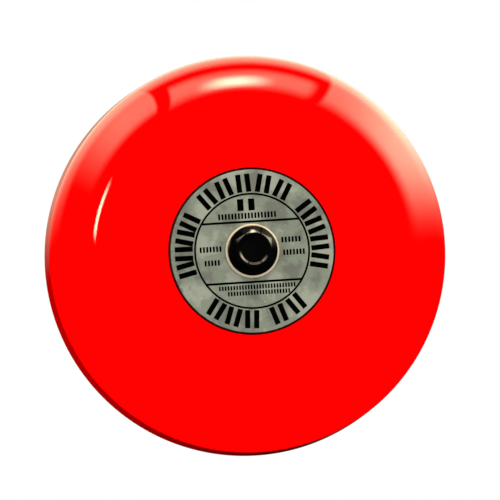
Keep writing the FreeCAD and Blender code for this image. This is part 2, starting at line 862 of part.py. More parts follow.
def make_terminals():
    """The four-way terminal block and its clamp screws."""
    block = new_body("terminal_block")
    low, high, top = 30.0, 38.5, board_front + 9.0
    side = 10.4
    pad(block, rectangle(-side, low, side, high), board_front, top)
    well, seat = 1.95, board_front + 5.0
    for x in terminal_places():
        cut_disc(block, well + 0.1, x, (low + high) / 2, seat, top)
        cut(block, rectangle(x - 1.7, low, x + 1.7, low + 4.0), board_front + 1.0, board_front + 4.2)
    screws = new_body("terminal_screws")
    for x in terminal_places():
        pad_disc(screws, well, x, (low + high) / 2, seat, seat + 2.4)
        slot = rectangle(x - well, (low + high) / 2 - 0.35, x + well, (low + high) / 2 + 0.35)
        cut(screws, slot, seat + 1.5, seat + 2.4)
    return [block, screws]


def make_components():
    """The polarising diode, the surge varistor and the smoothing capacitor."""
    diode = new_body("polarity_diode")
    pad(diode, rectangle(-14.2, 31.0, -11.8, 35.0), board_front, board_front + 2.3)
    varistor = new_body("surge_varistor")
    pad(varistor, rectangle(12.2, 31.5, 14.8, 38.5), board_front, board_front + 6.5)
    can_radius, lip = 3.2, 0.5
    capacitor = turned_piece(
        "smoothing_capacitor",
        [
            (0.0, board_front),
            (can_radius, board_front),
            (can_radius, board_front + 1.2),
            (can_radius - 0.3, board_front + 1.6),
            (can_radius, board_front + 2.0),
            (can_radius, board_front + 8.0 - lip),
            (can_radius - lip, board_front + 8.0, lip),
            (0.0, board_front + 8.0),
        ],
        x=3.0,
        z=25.5,
    )
    return [diode, varistor, capacitor]


# ---------------------------------------------------------------- motor


def make_motor():
    """The fixed pieces of the motor: can, magnets, bearings, end cap, tabs and screws."""
    radius, rear = dim["motor_radius"], dim["motor_rear"]
    front = dim["base_height"] - 0.1
    sheet, nose = 0.8, 3.0
    cap_front = rear + 2.0
    bush_outer = 2.2
    can = turned_piece(
        "motor_can",
        [
            (bush_outer, front - sheet),
            (radius - sheet, front - sheet),
            (radius - sheet, rear),
            (radius, rear),
            (radius, front - 1.0),
            (radius - 1.0, front, 1.0),
            (nose, front),
            (nose, front + 1.5),
            (bush_outer, front + 1.5),
        ],
        z=motor_z,
    )
    shaft_bore = dim["shaft_radius"] + dim["running_gap"]
    front_bush = ring("motor_front_bush", shaft_bore, bush_outer, front - 1.4, front + 1.5, z=motor_z)
    cap = turned_piece(
        "motor_end_cap",
        [
            (bush_outer, rear),
            (radius - sheet - 0.05, rear),
            (radius - sheet - 0.05, cap_front),
            (4.0, cap_front),
            (4.0, cap_front + 0.6),
            (bush_outer, cap_front + 0.6),
        ],
        z=motor_z,
    )
    rear_bush = ring("motor_rear_bush", shaft_bore, bush_outer, rear, cap_front + 0.4, z=motor_z)
    magnets = new_body("motor_magnets")
    around(magnets, [pad(magnets, arch(8.6, 11.1, 0, 68), 12.4, 21.4)], 2)
    move(magnets, z=motor_z)
    tabs = new_body("motor_tabs")
    for side in (-1, 1):
        middle = side * 6.5
        pad(tabs, rectangle(middle - 0.25, -1.1, middle + 0.25, 1.1), 5.2, rear)
    move(tabs, z=motor_z)
    places = [(side * 8.0, as_size(0.0)) for side in (-1, 1)]
    screws = screw_set("motor_screws", places, 2.2, cover_front - 1.3, 1.1, 1.2, 3.0)
    move(screws, z=motor_z)
    for side in (-1, 1):
        cut_disc(can, 1.25, side * 8.0, 0.0, front - 1.0, front)
    return [can, front_bush, cap, rear_bush, magnets, tabs, screws]


def make_shaft_seal():
    """The rubber lip seal in the cover, round the motor shaft."""
    lip = dim["shaft_radius"] + dim["running_gap"]
    nose_front = dim["base_height"] + 1.5
    return turned_piece(
        "shaft_seal",
        [
            (lip, nose_front),
            (5.0, nose_front),
            (5.0, cover_front + 0.5),
            (3.4, cover_front + 0.7),
            (1.8, cover_front + 1.0),
            (lip, cover_front + 0.7),
        ],
        z=motor_z,
    )


def make_armature():
    """What turns inside the motor: shaft, laminated core, windings and commutator."""
    shaft_radius = dim["shaft_radius"]
    shaft_end = dim["hammer_height"] + 3.0
    shaft = turned_piece(
        "motor_shaft",
        [
            (0.0, dim["motor_rear"] - 0.6),
            (shaft_radius, dim["motor_rear"] - 0.6),
            (shaft_radius, shaft_end - 0.3),
            (shaft_radius - 0.3, shaft_end),
            (0.0, shaft_end),
        ],
        z=motor_z,
    )
    low, high = 13.0, 20.8
    core = new_body("armature_core")
    hub, neck, shoe_inner, shoe_outer, shoe_reach = 2.6, 1.1, 6.6, 8.2, 50.0
    pad_disc(core, hub, 0.0, 0.0, low, high)
    leg = pad(core, rectangle(-neck, hub - 0.8, neck, shoe_inner + 0.6), low, high)
    shoe = pad(core, arch(shoe_inner, shoe_outer, 90, shoe_reach), low, high)
    around(core, [leg, shoe], 3)
    cut_disc(core, shaft_radius, 0.0, 0.0, low, high)
    move(core, z=motor_z)
    windings = new_body("armature_windings")
    coil = pad(windings, rectangle(-2.9, 3.1, 2.9, 5.7), low - 1.2, high + 1.2)
    slot = cut(windings, rectangle(-neck - 0.05, 2.0, neck + 0.05, 7.0), low - 0.05, high + 0.05)
    around(windings, [coil, slot], 3)
    move(windings, z=motor_z)
    commutator = ring("commutator", shaft_radius, 2.0, 10.8, 11.7, z=motor_z)
    return [shaft, core, windings, commutator]


# ---------------------------------------------------------------- hammer wheel and hammer


def stop_places():
    """The two stops, just past the hammer's swing, as x and z from the motor axis."""
    reach = dim["neck_half"] + dim["stop_radius"] + 0.1
    touch = math.degrees(math.asin(reach.value / dim["stop_throw"].value))
    angle = dim["swing_limit"] + touch
    drop = -dim["pin_throw"] - dim["stop_throw"] * cosine(angle)
    return [(side * dim["stop_throw"] * sine(angle), drop) for side in (-1, 1)]


def make_wheel():
    """The flywheel on the motor shaft, with its counterweight, stops, hammer pin and spacer."""
    wheel = new_body("hammer_wheel")
    hub_radius, hub_front = 4.2, dim["hammer_height"] + 1.5
    low = dim["wheel_height"]
    spin(
        wheel,
        [
            (dim["shaft_radius"], low),
            (dim["wheel_radius"], low),
            (dim["wheel_radius"], wheel_front - 0.3),
            (dim["wheel_radius"] - 0.3, wheel_front),
            (hub_radius + 0.6, wheel_front),
            (hub_radius, hub_front),
            (dim["shaft_radius"], hub_front),
        ],
    )
    pad(wheel, arch(9.5, 16.4, 90, 64), wheel_front - 0.5, hub_front - 1.0)
    for x, z in stop_places():
        pad_disc(wheel, dim["stop_radius"], x, z, wheel_front - 0.5, hammer_front)
    cut_disc(wheel, dim["pin_radius"], 0.0, -dim["pin_throw"], low, wheel_front)
    move(wheel, z=motor_z)
    pin_rear, pin_front = low - 0.4, hammer_front + 1.9
    groove_rear, groove_front = hammer_front + 0.25, hammer_front + 0.95
    groove_radius = dim["pin_radius"] - 0.4
    pin = turned_piece(
        "hammer_pin",
        [
            (0.0, pin_rear),
            (dim["pin_radius"], pin_rear),
            (dim["pin_radius"], groove_rear),
            (groove_radius, groove_rear),
            (groove_radius, groove_front),
            (dim["pin_radius"], groove_front),
            (dim["pin_radius"], pin_front - 0.3),
            (dim["pin_radius"] - 0.3, pin_front),
            (0.0, pin_front),
        ],
        z=pin_z,
    )
    spacer = ring(
        "hammer_spacer", dim["pin_radius"], 3.2, wheel_front, hammer_rear - 0.1, z=pin_z
    )
    clip = new_body("hammer_clip")
    clip_radius, mouth = 2.9, 0.8
    pad_disc(clip, clip_radius, 0.0, 0.0, groove_rear + 0.05, groove_front - 0.05)
    cut_disc(clip, groove_radius + 0.02, 0.0, 0.0, groove_rear, groove_front)
    cut(clip, rectangle(-mouth, 0.0, mouth, clip_radius + 1.0), groove_rear, groove_front)
    move(clip, z=pin_z)
    return [wheel, pin, spacer, clip]


def make_hammer():
    """The swinging arm and the steel ball pressed on its end."""
    eye, neck, peg = 3.3, dim["neck_half"], 1.5
    ball_cut = 3.9
    arm_end = -(dim["hammer_reach"] - ball_cut)
    arm = new_body("hammer_arm")
    pad_disc(arm, eye, 0.0, 0.0, hammer_rear, hammer_front)
    pad(arm, rectangle(-neck, arm_end, neck, 0.0), hammer_rear, hammer_front)
    cut_disc(arm, dim["pin_radius"] + dim["running_gap"], 0.0, 0.0, hammer_rear, hammer_front)
    stem = new_sketch(arm, "XY_Plane", arm_end)
    draw_circle(stem, peg, 0.0, -dim["hammer_height"])
    spigot = arm.newObject("PartDesign::Pad", "hammer_arm_peg")
    spigot.Profile = stem
    spigot.Length = ball_cut
    spigot.Reversed = True
    move(arm, z=pin_z)
    ball = doc.addObject("Part::Sphere", "hammer_ball")
    bind(ball, "Radius", dim["ball_radius"])
    hole = doc.addObject("Part::Cylinder", "hammer_ball_hole")
    bind(hole, "Radius", as_size(peg))
    bind(hole, "Height", dim["ball_radius"])
    face = doc.addObject("Part::Cylinder", "hammer_ball_face")
    bind(face, "Radius", dim["ball_radius"])
    bind(face, "Height", dim["ball_radius"])
    face.Placement.Base = Vector(0, 0, ball_cut)
    tools = doc.addObject("Part::Fuse", "hammer_ball_tools")
    tools.Base, tools.Tool = hole, face
    head = doc.addObject("Part::Cut", "hammer_head")
    head.Base, head.Tool = ball, tools
    move(head, height=dim["hammer_height"], z=pin_z - dim["hammer_reach"])
    return [arm, head]


# ---------------------------------------------------------------- wiring


def routed_wire(points, bends):
    """A path of straight runs joined by tangent arcs, one bend radius for each inner point."""
    edges, start = [], points[0]
    for index, bend in enumerate(bends, start=1):
        corner = points[index]
        back = (points[index - 1] - corner).normalize()
        ahead = (points[index + 1] - corner).normalize()
        half = back.getAngle(ahead) / 2
        entry = corner + back * (bend / math.tan(half))
        leave = corner + ahead * (bend / math.tan(half))
        centre = corner + (back + ahead).normalize() * (bend / math.sin(half))
        middle = centre + (corner - centre).normalize() * bend
        edges.append(Part.LineSegment(start, entry).toShape())
        edges.append(Part.Arc(entry, middle, leave).toShape())
        start = leave
    edges.append(Part.LineSegment(start, points[-1]).toShape())
    return Part.Wire(edges)


def make_lead(label, side):
    """An insulated lead from the back of the board, past the post boss, to one motor tab."""
    radius = 0.7
    floor_run = 6.6
    board_z, tab_x = dim["board_low"].value + 2.0, side * 6.75
    points = [
        Vector(side * 12.0, -dim["board_height"].value, board_z),
        Vector(side * 12.0, -floor_run, board_z),
        Vector(side * 17.0, -floor_run, board_z - 9.0),
        Vector(side * 18.5, -floor_run, -6.0),
        Vector(side * 16.0, -floor_run, -26.0),
        Vector(side * 12.0, -floor_run, motor_z.value),
        Vector(tab_x, -floor_run, motor_z.value),
    ]
    shortest = [
        min((points[k] - points[k - 1]).Length, (points[k + 1] - points[k]).Length)
        for k in range(1, len(points) - 1)
    ]
    bends = []
    for k, run in enumerate(shortest, start=1):
        back, ahead = points[k - 1] - points[k], points[k + 1] - points[k]
        turn = math.pi - back.getAngle(ahead)
        bends.append(0.45 * run / math.tan(turn / 2))
    path = routed_wire(points, bends)
    section = Part.Wire(Part.Circle(points[0], points[1] - points[0], radius).toShape())
    shape = path.makePipeShell([section], True, False)
    lead = doc.addObject("Part::Feature", label)
    lead.Shape = shape
    wanted = math.pi * radius**2 * path.Length
    if abs(shape.Volume / wanted - 1) > 0.01:
        raise RuntimeError(f"{label} has the wrong volume")
    print(label, round(path.Length, 1), "mm long, tightest bend", round(min(bends), 2), "mm")
    return lead


# ---------------------------------------------------------------- checks and files


def check_document():
    """Stops the build if any object failed to recompute."""
    for thing in doc.Objects:
        if {"Invalid", "Error"} & set(thing.State):
            raise RuntimeError(f"{thing.Label} is {thing.State}")


def write_parts(pieces):
    """Checks each sub-part's shape and writes it to its own STEP file."""
    os.makedirs(PARTS_FOLDER, exist_ok=True)
    for piece in pieces:
        shape = piece.Shape
        if shape.isNull() or not shape.isValid() or shape.Volume <= 0:
            raise RuntimeError(f"{piece.Label} has no valid shape")
        shape.exportStep(os.path.join(PARTS_FOLDER, f"{piece.Label}.step"))


def main():
    """Builds every sub-part, recomputes the document and writes the files."""
    pieces = [
        *make_gong(),
        *make_post(),
        *make_bolt(),
        make_base(),
        *make_seals(),
        make_cover(),
        make_grommet(),
        make_cover_screws(),
        *make_board(),
        *make_motor(),
        make_shaft_seal(),
        *make_armature(),
        *make_wheel(),
        *make_hammer(),
        make_lead("lead_black", -1),
        make_lead("lead_red", 1),
    ]
    doc.recompute()
    check_document()
    write_parts(pieces)
    print(len(pieces), "sub-parts written")


main()
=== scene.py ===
"""Fire alarm bell: enamel gong, printed nameplate, bolt, finishes, studio and camera round the fixed frame."""

import json
import logging
import math
from dataclasses import dataclass
from enum import Enum
from typing import Any

import bmesh
import bpy
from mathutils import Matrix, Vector


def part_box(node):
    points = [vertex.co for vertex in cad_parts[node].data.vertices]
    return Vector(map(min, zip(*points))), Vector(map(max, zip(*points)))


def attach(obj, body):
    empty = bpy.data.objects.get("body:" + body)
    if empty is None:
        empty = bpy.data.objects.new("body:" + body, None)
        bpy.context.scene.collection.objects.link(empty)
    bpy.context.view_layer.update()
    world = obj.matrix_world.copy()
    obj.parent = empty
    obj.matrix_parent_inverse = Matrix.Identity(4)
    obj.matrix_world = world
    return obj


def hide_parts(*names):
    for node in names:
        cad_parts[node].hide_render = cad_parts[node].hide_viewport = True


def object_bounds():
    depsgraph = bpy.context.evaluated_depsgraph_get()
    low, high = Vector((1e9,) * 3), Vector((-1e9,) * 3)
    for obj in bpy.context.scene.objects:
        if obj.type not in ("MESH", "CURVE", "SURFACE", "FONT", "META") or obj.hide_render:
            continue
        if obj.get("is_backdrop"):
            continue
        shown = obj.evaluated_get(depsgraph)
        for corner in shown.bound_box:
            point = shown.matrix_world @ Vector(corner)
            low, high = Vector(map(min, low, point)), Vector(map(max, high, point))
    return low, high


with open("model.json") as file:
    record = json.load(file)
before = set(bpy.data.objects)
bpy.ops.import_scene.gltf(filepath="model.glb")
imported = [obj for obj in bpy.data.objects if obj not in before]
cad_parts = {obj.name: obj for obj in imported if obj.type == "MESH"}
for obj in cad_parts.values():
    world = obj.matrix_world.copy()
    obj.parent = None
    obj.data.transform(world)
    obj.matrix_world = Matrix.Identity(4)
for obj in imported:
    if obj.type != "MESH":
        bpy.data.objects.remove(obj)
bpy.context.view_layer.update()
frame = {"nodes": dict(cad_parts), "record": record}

LOG = logging.getLogger("alarm_bell")
MM = 0.001
MERGE_DISTANCE = 1e-6
FLAT_ANGLE = 0.5
Colour = tuple[float, float, float]
Place = tuple[float, float, float]


# ---------------------------------------------------------------- node helpers


class NodeSheet:
    """Short calls that add and join the nodes of one tree."""

    def __init__(self, tree: bpy.types.NodeTree) -> None:
        """Keeps the tree that the calls add to."""
        self.tree = tree

    def feed(self, socket: bpy.types.NodeSocket, value: Any) -> None:
        """Sets a socket to a value, or joins it to another node's socket.

        Args:
            socket: The input to feed.
            value: A number, colour, vector, name or output socket.
        """
        if isinstance(value, bpy.types.NodeSocket):
            self.tree.links.new(value, socket)
            return
        if socket.type == "RGBA" and len(value) == 3:
            value = (*value, 1.0)
        socket.default_value = value

    def add(self, kind: str, inputs: dict[str | int, Any] | None = None, **settings: Any) -> bpy.types.Node:
        """Adds a node.

        Args:
            kind: The node's type.
            inputs: Input names or places, with what feeds each.
            **settings: The node's own properties, set before its inputs.

        Returns:
            The new node.
        """
        node = self.tree.nodes.new(kind)
        for name, value in settings.items():
            setattr(node, name, value)
        for name, value in (inputs or {}).items():
            self.feed(node.inputs[name], value)
        return node

    def maths(self, operation: str, first: Any, second: Any = 0.0, clamp: bool = False) -> bpy.types.NodeSocket:
        """Adds one sum.

        Args:
            operation: The Math node's operation.
            first: Its first value or socket.
            second: Its second value or socket.
            clamp: Whether the result stays between 0 and 1.

        Returns:
            The result's socket.
        """
        return self.add("ShaderNodeMath", {0: first, 1: second}, operation=operation, use_clamp=clamp).outputs[0]

    def times(self, first: Any, second: Any) -> bpy.types.NodeSocket:
        """Returns the product of two values or sockets."""
        return self.maths("MULTIPLY", first, second)

    def plus(self, first: Any, second: Any) -> bpy.types.NodeSocket:
        """Returns the sum of two values or sockets."""
        return self.maths("ADD", first, second)

    def ramp(
        self, value: Any, start: Any, end: Any, low: Any = 0.0, high: Any = 1.0, smooth: bool = True
    ) -> bpy.types.NodeSocket:
        """Maps a value from one range to another, held at both ends.

        Args:
            value: What is mapped.
            start: The value that gives low.
            end: The value that gives high.
            low: Result at the start.
            high: Result at the end.
            smooth: Whether the ends are eased.

        Returns:
            The result's socket.
        """
        sockets = {"Value": value, "From Min": start, "From Max": end, "To Min": low, "To Max": high}
        kind = "SMOOTHSTEP" if smooth else "LINEAR"
        return self.add("ShaderNodeMapRange", sockets, interpolation_type=kind).outputs["Result"]

    def blend(self, share: Any, first: Any, second: Any) -> bpy.types.NodeSocket:
        """Mixes two colours.

        Args:
            share: How much of the second colour shows.
            first: First colour or socket.
            second: Second colour or socket.

        Returns:
            The mixed colour's socket.
        """
        return self.add("ShaderNodeMix", {0: share, 6: first, 7: second}, data_type="RGBA").outputs[2]

    def noise(self, vector: Any, scale: Any, detail: float = 4.0, roughness: float = 0.55) -> bpy.types.NodeSocket:
        """Adds a noise pattern.

        Args:
            vector: Where the pattern is read.
            scale: Its scale, in waves per metre.
            detail: How many finer layers it has.
            roughness: How strong the finer layers are.

        Returns:
            The pattern's value, about 0.5 on average.
        """
        sockets = {"Vector": vector, "Scale": scale, "Detail": detail, "Roughness": roughness}
        return self.add("ShaderNodeTexNoise", sockets).outputs["Fac"]


class ShaderGroup:
    """A shader node group with named inputs and outputs, built once and placed in many materials."""

    def __init__(self, name: str, inputs: dict[str, tuple[str, Any]], outputs: dict[str, str]) -> None:
        """Makes the empty group.

        Args:
            name: The group's name.
            inputs: Input names with their socket type and default.
            outputs: Output names with their socket type.
        """
        self.tree = bpy.data.node_groups.new(name, "ShaderNodeTree")
        for socket_name, (kind, default) in inputs.items():
            socket = self.tree.interface.new_socket(socket_name, in_out="INPUT", socket_type=kind)
            if default is not None:
                socket.default_value = default
        for socket_name, kind in outputs.items():
            self.tree.interface.new_socket(socket_name, in_out="OUTPUT", socket_type=kind)
        self.sheet = NodeSheet(self.tree)
        self.given = self.tree.nodes.new("NodeGroupInput").outputs
        self.result = self.tree.nodes.new("NodeGroupOutput").inputs

    def place(self, sheet: NodeSheet, inputs: dict[str, Any]) -> bpy.types.bpy_prop_collection:
        """Puts the group in another tree.

        Args:
            sheet: The tree that gets it.
            inputs: What feeds its inputs.

        Returns:
            The placed group's outputs.
        """
        return sheet.add("ShaderNodeGroup", inputs, node_tree=self.tree).outputs


VALUE, COLOUR, VECTOR = "NodeSocketFloat", "NodeSocketColor", "NodeSocketVector"


class SurfaceEffects:
    """The shader groups that the finishes share: grain, scratches, dust, rings, pits, peel and their blend."""

    def __init__(self) -> None:
        """Builds every group once."""
        self.grain = self.make_grain()
        self.scratches = self.make_scratches()
        self.dust = self.make_dust()
        self.rings = self.make_rings()
        self.pits = self.make_pits()
        self.peel = self.make_peel()
        self.surface = self.make_surface()

    def make_grain(self) -> ShaderGroup:
        """Returns mottled grain: broad cloudy patches with a fine tooth in them."""
        group = ShaderGroup(
            "mottled_grain",
            {"Vector": (VECTOR, None), "Scale": (VALUE, 400.0), "Contrast": (VALUE, 0.3)},
            {"Mask": VALUE, "Height": VALUE},
        )
        sheet, given = group.sheet, group.given
        broad = sheet.noise(given["Vector"], sheet.times(given["Scale"], 0.13), 3.0)
        fine = sheet.noise(given["Vector"], given["Scale"], 5.0, 0.6)
        mixed = sheet.times(sheet.plus(broad, fine), 0.5)
        low = sheet.maths("SUBTRACT", 0.5, sheet.times(given["Contrast"], 0.5))
        high = sheet.plus(0.5, sheet.times(given["Contrast"], 0.5))
        sheet.feed(group.result["Mask"], sheet.ramp(mixed, low, high))
        sheet.feed(group.result["Height"], fine)
        return group

    def make_scratches(self) -> ShaderGroup:
        """Returns fine scratches: two crossing sets of long thin streaks."""
        group = ShaderGroup(
            "fine_scratches", {"Vector": (VECTOR, None), "Amount": (VALUE, 0.3)}, {"Mask": VALUE}
        )
        sheet, given = group.sheet, group.given
        streaks = []
        for turn, stretch in ((0.5, (900.0, 700.0, 18.0)), (-0.9, (25.0, 800.0, 1100.0))):
            mapped = sheet.add(
                "ShaderNodeMapping", {"Vector": given["Vector"], "Rotation": (0.3, turn, 0.2), "Scale": stretch}
            )
            streak = sheet.noise(mapped.outputs[0], 1.0, 2.0)
            streaks.append(sheet.ramp(streak, 0.66, 0.74))
        both = sheet.maths("MAXIMUM", streaks[0], streaks[1])
        sheet.feed(group.result["Mask"], sheet.times(both, given["Amount"]))
        return group

    def make_dust(self) -> ShaderGroup:
        """Returns a thin film of dust that lies on what faces upwards."""
        group = ShaderGroup("settled_dust", {"Vector": (VECTOR, None), "Amount": (VALUE, 0.2)}, {"Mask": VALUE})
        sheet, given = group.sheet, group.given
        facing = sheet.add("ShaderNodeSeparateXYZ", {0: sheet.add("ShaderNodeNewGeometry").outputs["Normal"]})
        upward = sheet.ramp(facing.outputs["Z"], 0.35, 1.0)
        patches = sheet.ramp(sheet.noise(given["Vector"], 90.0, 6.0, 0.65), 0.35, 0.7)
        sheet.feed(
            group.result["Mask"],
            sheet.times(sheet.times(upward, patches), given["Amount"]),
        )
        return group

    def make_rings(self) -> ShaderGroup:
        """Returns the fine turning lines that a lathe leaves round an axis along Y."""
        group = ShaderGroup(
            "turning_rings", {"Vector": (VECTOR, None), "Pitch": (VALUE, 0.0002)}, {"Mask": VALUE, "Height": VALUE}
        )
        sheet, given = group.sheet, group.given
        parts = sheet.add("ShaderNodeSeparateXYZ", {0: given["Vector"]}).outputs
        flat = sheet.add("ShaderNodeCombineXYZ", {"X": parts["X"], "Z": parts["Z"]}).outputs[0]
        radius = sheet.add("ShaderNodeVectorMath", {0: flat}, operation="LENGTH").outputs["Value"]
        along = sheet.maths("DIVIDE", sheet.plus(radius, parts["Y"]), given["Pitch"])
        lines = sheet.add("ShaderNodeTexNoise", {"W": along, "Scale": 0.5, "Detail": 3.0}, noise_dimensions="1D")
        sheet.feed(group.result["Mask"], sheet.ramp(lines.outputs["Fac"], 0.3, 0.7))
        sheet.feed(group.result["Height"], lines.outputs["Fac"])
        return group

    def make_pits(self) -> ShaderGroup:
        """Returns the small dimples of a cast or moulded skin."""
        group = ShaderGroup("skin_pits", {"Vector": (VECTOR, None), "Scale": (VALUE, 900.0)}, {"Height": VALUE})
        sheet, given = group.sheet, group.given
        cells = sheet.add(
            "ShaderNodeTexVoronoi",
            {"Vector": given["Vector"], "Scale": given["Scale"]},
            feature="SMOOTH_F1",
        ).outputs["Distance"]
        fine = sheet.noise(given["Vector"], sheet.times(given["Scale"], 2.3), 3.0)
        sheet.feed(group.result["Height"], sheet.plus(cells, sheet.times(fine, 0.4)))
        return group

    def make_peel(self) -> ShaderGroup:
        """Returns the soft ripple of sprayed paint."""
        group = ShaderGroup("paint_peel", {"Vector": (VECTOR, None), "Scale": (VALUE, 260.0)}, {"Height": VALUE})
        sheet, given = group.sheet, group.given
        ripple = sheet.noise(given["Vector"], given["Scale"], 1.5, 0.4)
        swell = sheet.noise(given["Vector"], sheet.times(given["Scale"], 0.18), 1.0, 0.3)
        sheet.feed(group.result["Height"], sheet.plus(ripple, sheet.times(swell, 1.6)))
        return group

    def make_surface(self) -> ShaderGroup:
        """Returns the blend that every finish starts from: grain, scratches and dust as colour and roughness."""
        group = ShaderGroup(
            "worked_surface",
            {
                "Vector": (VECTOR, None),
                "Colour": (COLOUR, None),
                "Second Colour": (COLOUR, None),
                "Dust Colour": (COLOUR, None),
                "Grain Scale": (VALUE, 400.0),
                "Grain Contrast": (VALUE, 0.3),
                "Scratches": (VALUE, 0.2),
                "Dust": (VALUE, 0.1),
                "Smoothest": (VALUE, 0.3),
                "Roughest": (VALUE, 0.5),
            },
            {"Colour": COLOUR, "Roughness": VALUE, "Height": VALUE},
        )
        sheet, given = group.sheet, group.given
        grain = self.grain.place(
            sheet,
            {"Vector": given["Vector"], "Scale": given["Grain Scale"], "Contrast": given["Grain Contrast"]},
        )
        scratches = self.scratches.place(sheet, {"Vector": given["Vector"], "Amount": given["Scratches"]})["Mask"]
        dust = self.dust.place(sheet, {"Vector": given["Vector"], "Amount": given["Dust"]})["Mask"]
        worn = sheet.blend(grain["Mask"], given["Colour"], given["Second Colour"])
        sheet.feed(group.result["Colour"], sheet.blend(dust, worn, given["Dust Colour"]))
        rough = sheet.ramp(grain["Mask"], 0.0, 1.0, given["Smoothest"], given["Roughest"], smooth=False)
        rougher = sheet.plus(rough, sheet.times(scratches, 0.25))
        sheet.feed(
            group.result["Roughness"],
            sheet.maths("ADD", rougher, sheet.times(dust, 0.4), clamp=True),
        )
        sheet.feed(
            group.result["Height"],
            sheet.maths("SUBTRACT", grain["Height"], sheet.times(scratches, 0.6)),
        )
        return group


# ---------------------------------------------------------------- finishes


class Relief(Enum):
    """What gives a finish its small relief."""

    GRAIN = "grain"
    RINGS = "rings"
    PITS = "pits"
    PEEL = "peel"


@dataclass(frozen=True)
class Finish:
    """One material: its colours, gloss, wear and relief."""

    slot: str
    colour: Colour
    second: Colour
    smoothest: float
    roughest: float
    metallic: float = 0.0
    specular: float = 0.5
    grain_scale: float = 500.0
    grain_contrast: float = 0.35
    scratches: float = 0.2
    dust: float = 0.1
    dust_colour: Colour = (0.45, 0.43, 0.4)
    relief: Relief = Relief.GRAIN
    relief_size: float = 500.0
    relief_strength: float = 0.15
    relief_depth: float = 0.00005
    coat: float = 0.0
    coat_roughness: float = 0.03
    centre: Place = (0.0, 0.0, 0.0)

    def relief_height(
        self, sheet: NodeSheet, effects: SurfaceEffects, place: Any, surface: Any
    ) -> bpy.types.NodeSocket:
        """Finds the height that the bump is made from.

        Args:
            sheet: The material's tree.
            effects: The shared groups.
            place: Where the pattern is read.
            surface: Outputs of the shared surface blend.

        Returns:
            The height's socket.
        """
        if self.relief is Relief.GRAIN:
            return surface["Height"]
        if self.relief is Relief.RINGS:
            relief = effects.rings.place(sheet, {"Vector": place, "Pitch": 0.1 / self.relief_size})["Height"]
        elif self.relief is Relief.PITS:
            relief = effects.pits.place(sheet, {"Vector": place, "Scale": self.relief_size})["Height"]
        else:
            relief = effects.peel.place(sheet, {"Vector": place, "Scale": self.relief_size})["Height"]
        return sheet.plus(relief, sheet.times(surface["Height"], 0.15))

    def colour_socket(self, sheet: NodeSheet, place: Any, surface: Any) -> bpy.types.NodeSocket:
        """Returns the socket that feeds Base Color."""
        return surface["Colour"]

    def build(self, effects: SurfaceEffects) -> bpy.types.Material:
        """Makes the material.

        Args:
            effects: The shared groups.

        Returns:
            The finished material.
        """
        material = bpy.data.materials.new(self.slot)
        material.use_nodes = True
        material.diffuse_color = (*self.colour, 1.0)
        sheet = NodeSheet(material.node_tree)
        shader = material.node_tree.nodes["Principled BSDF"]
        place = sheet.add(
            "ShaderNodeMapping",
            {"Vector": sheet.add("ShaderNodeTexCoord").outputs["Object"], "Location": self.centre},
        ).outputs[0]
        surface = effects.surface.place(
            sheet,
            {
                "Vector": place,
                "Colour": self.colour,
                "Second Colour": self.second,
                "Dust Colour": self.dust_colour,
                "Grain Scale": self.grain_scale,
                "Grain Contrast": self.grain_contrast,
                "Scratches": self.scratches,
                "Dust": self.dust,
                "Smoothest": self.smoothest,
                "Roughest": self.roughest,
            },
        )
        sheet.feed(shader.inputs["Base Color"], self.colour_socket(sheet, place, surface))
        sheet.feed(shader.inputs["Roughness"], surface["Roughness"])
        shader.inputs["Metallic"].default_value = self.metallic
        shader.inputs["Specular IOR Level"].default_value = self.specular
        shader.inputs["Coat Weight"].default_value = self.coat
        shader.inputs["Coat Roughness"].default_value = self.coat_roughness
        bump = sheet.add(
            "ShaderNodeBump",
            {
                "Strength": self.relief_strength,
                "Distance": self.relief_depth,
                "Height": self.relief_height(sheet, effects, place, surface),
            },
        )
        sheet.feed(shader.inputs["Normal"], bump.outputs[0])
        if self.coat:
            sheet.feed(shader.inputs["Coat Normal"], bump.outputs[0])
        return material


@dataclass(frozen=True)
class PrintedFoil(Finish):
    """Old satin foil: cloudy blotches, a darker smudge at one side and a few bright specks."""

    smudge_colour: Colour = (0.07, 0.08, 0.06)
    speck_colour: Colour = (0.62, 0.66, 0.56)
    smudge_start: float = -0.017
    smudge_end: float = -0.03
    blotch_light: Colour = (0.235, 0.245, 0.19)
    blotch_dark: Colour = (0.105, 0.105, 0.085)
    patch_scale: float = 240.0
    speck_scale: float = 900.0
    cloud_scale: float = 120.0
    light_clouds: tuple[float, float, float] = (0.5, 0.62, 0.9)
    dark_clouds: tuple[float, float, float] = (0.48, 0.38, 0.85)

    def colour_socket(self, sheet: NodeSheet, place: Any, surface: Any) -> bpy.types.NodeSocket:
        """Adds blotches, the smudge and the specks to the shared surface colour.

        Args:
            sheet: The material's tree.
            place: Where the patterns are read.
            surface: Outputs of the shared surface blend.

        Returns:
            The socket that feeds Base Color.
        """
        across = sheet.add("ShaderNodeSeparateXYZ", {0: place}).outputs["X"]
        side = sheet.ramp(across, self.smudge_start, self.smudge_end)
        patches = sheet.ramp(sheet.noise(place, self.patch_scale, 3.0), 0.46, 0.62)
        smudge = sheet.times(side, patches)
        cloud = sheet.noise(place, self.cloud_scale, 5.0)
        cloudy = surface["Colour"]
        for (start, end, most), tone in (
            (self.light_clouds, self.blotch_light),
            (self.dark_clouds, self.blotch_dark),
        ):
            cloudy = sheet.blend(sheet.ramp(cloud, start, end, 0.0, most), cloudy, tone)
        smudged = sheet.blend(smudge, cloudy, self.smudge_colour)
        specks = sheet.ramp(sheet.noise(place, self.speck_scale, 2.0), 0.73, 0.77)
        return sheet.blend(specks, smudged, self.speck_colour)


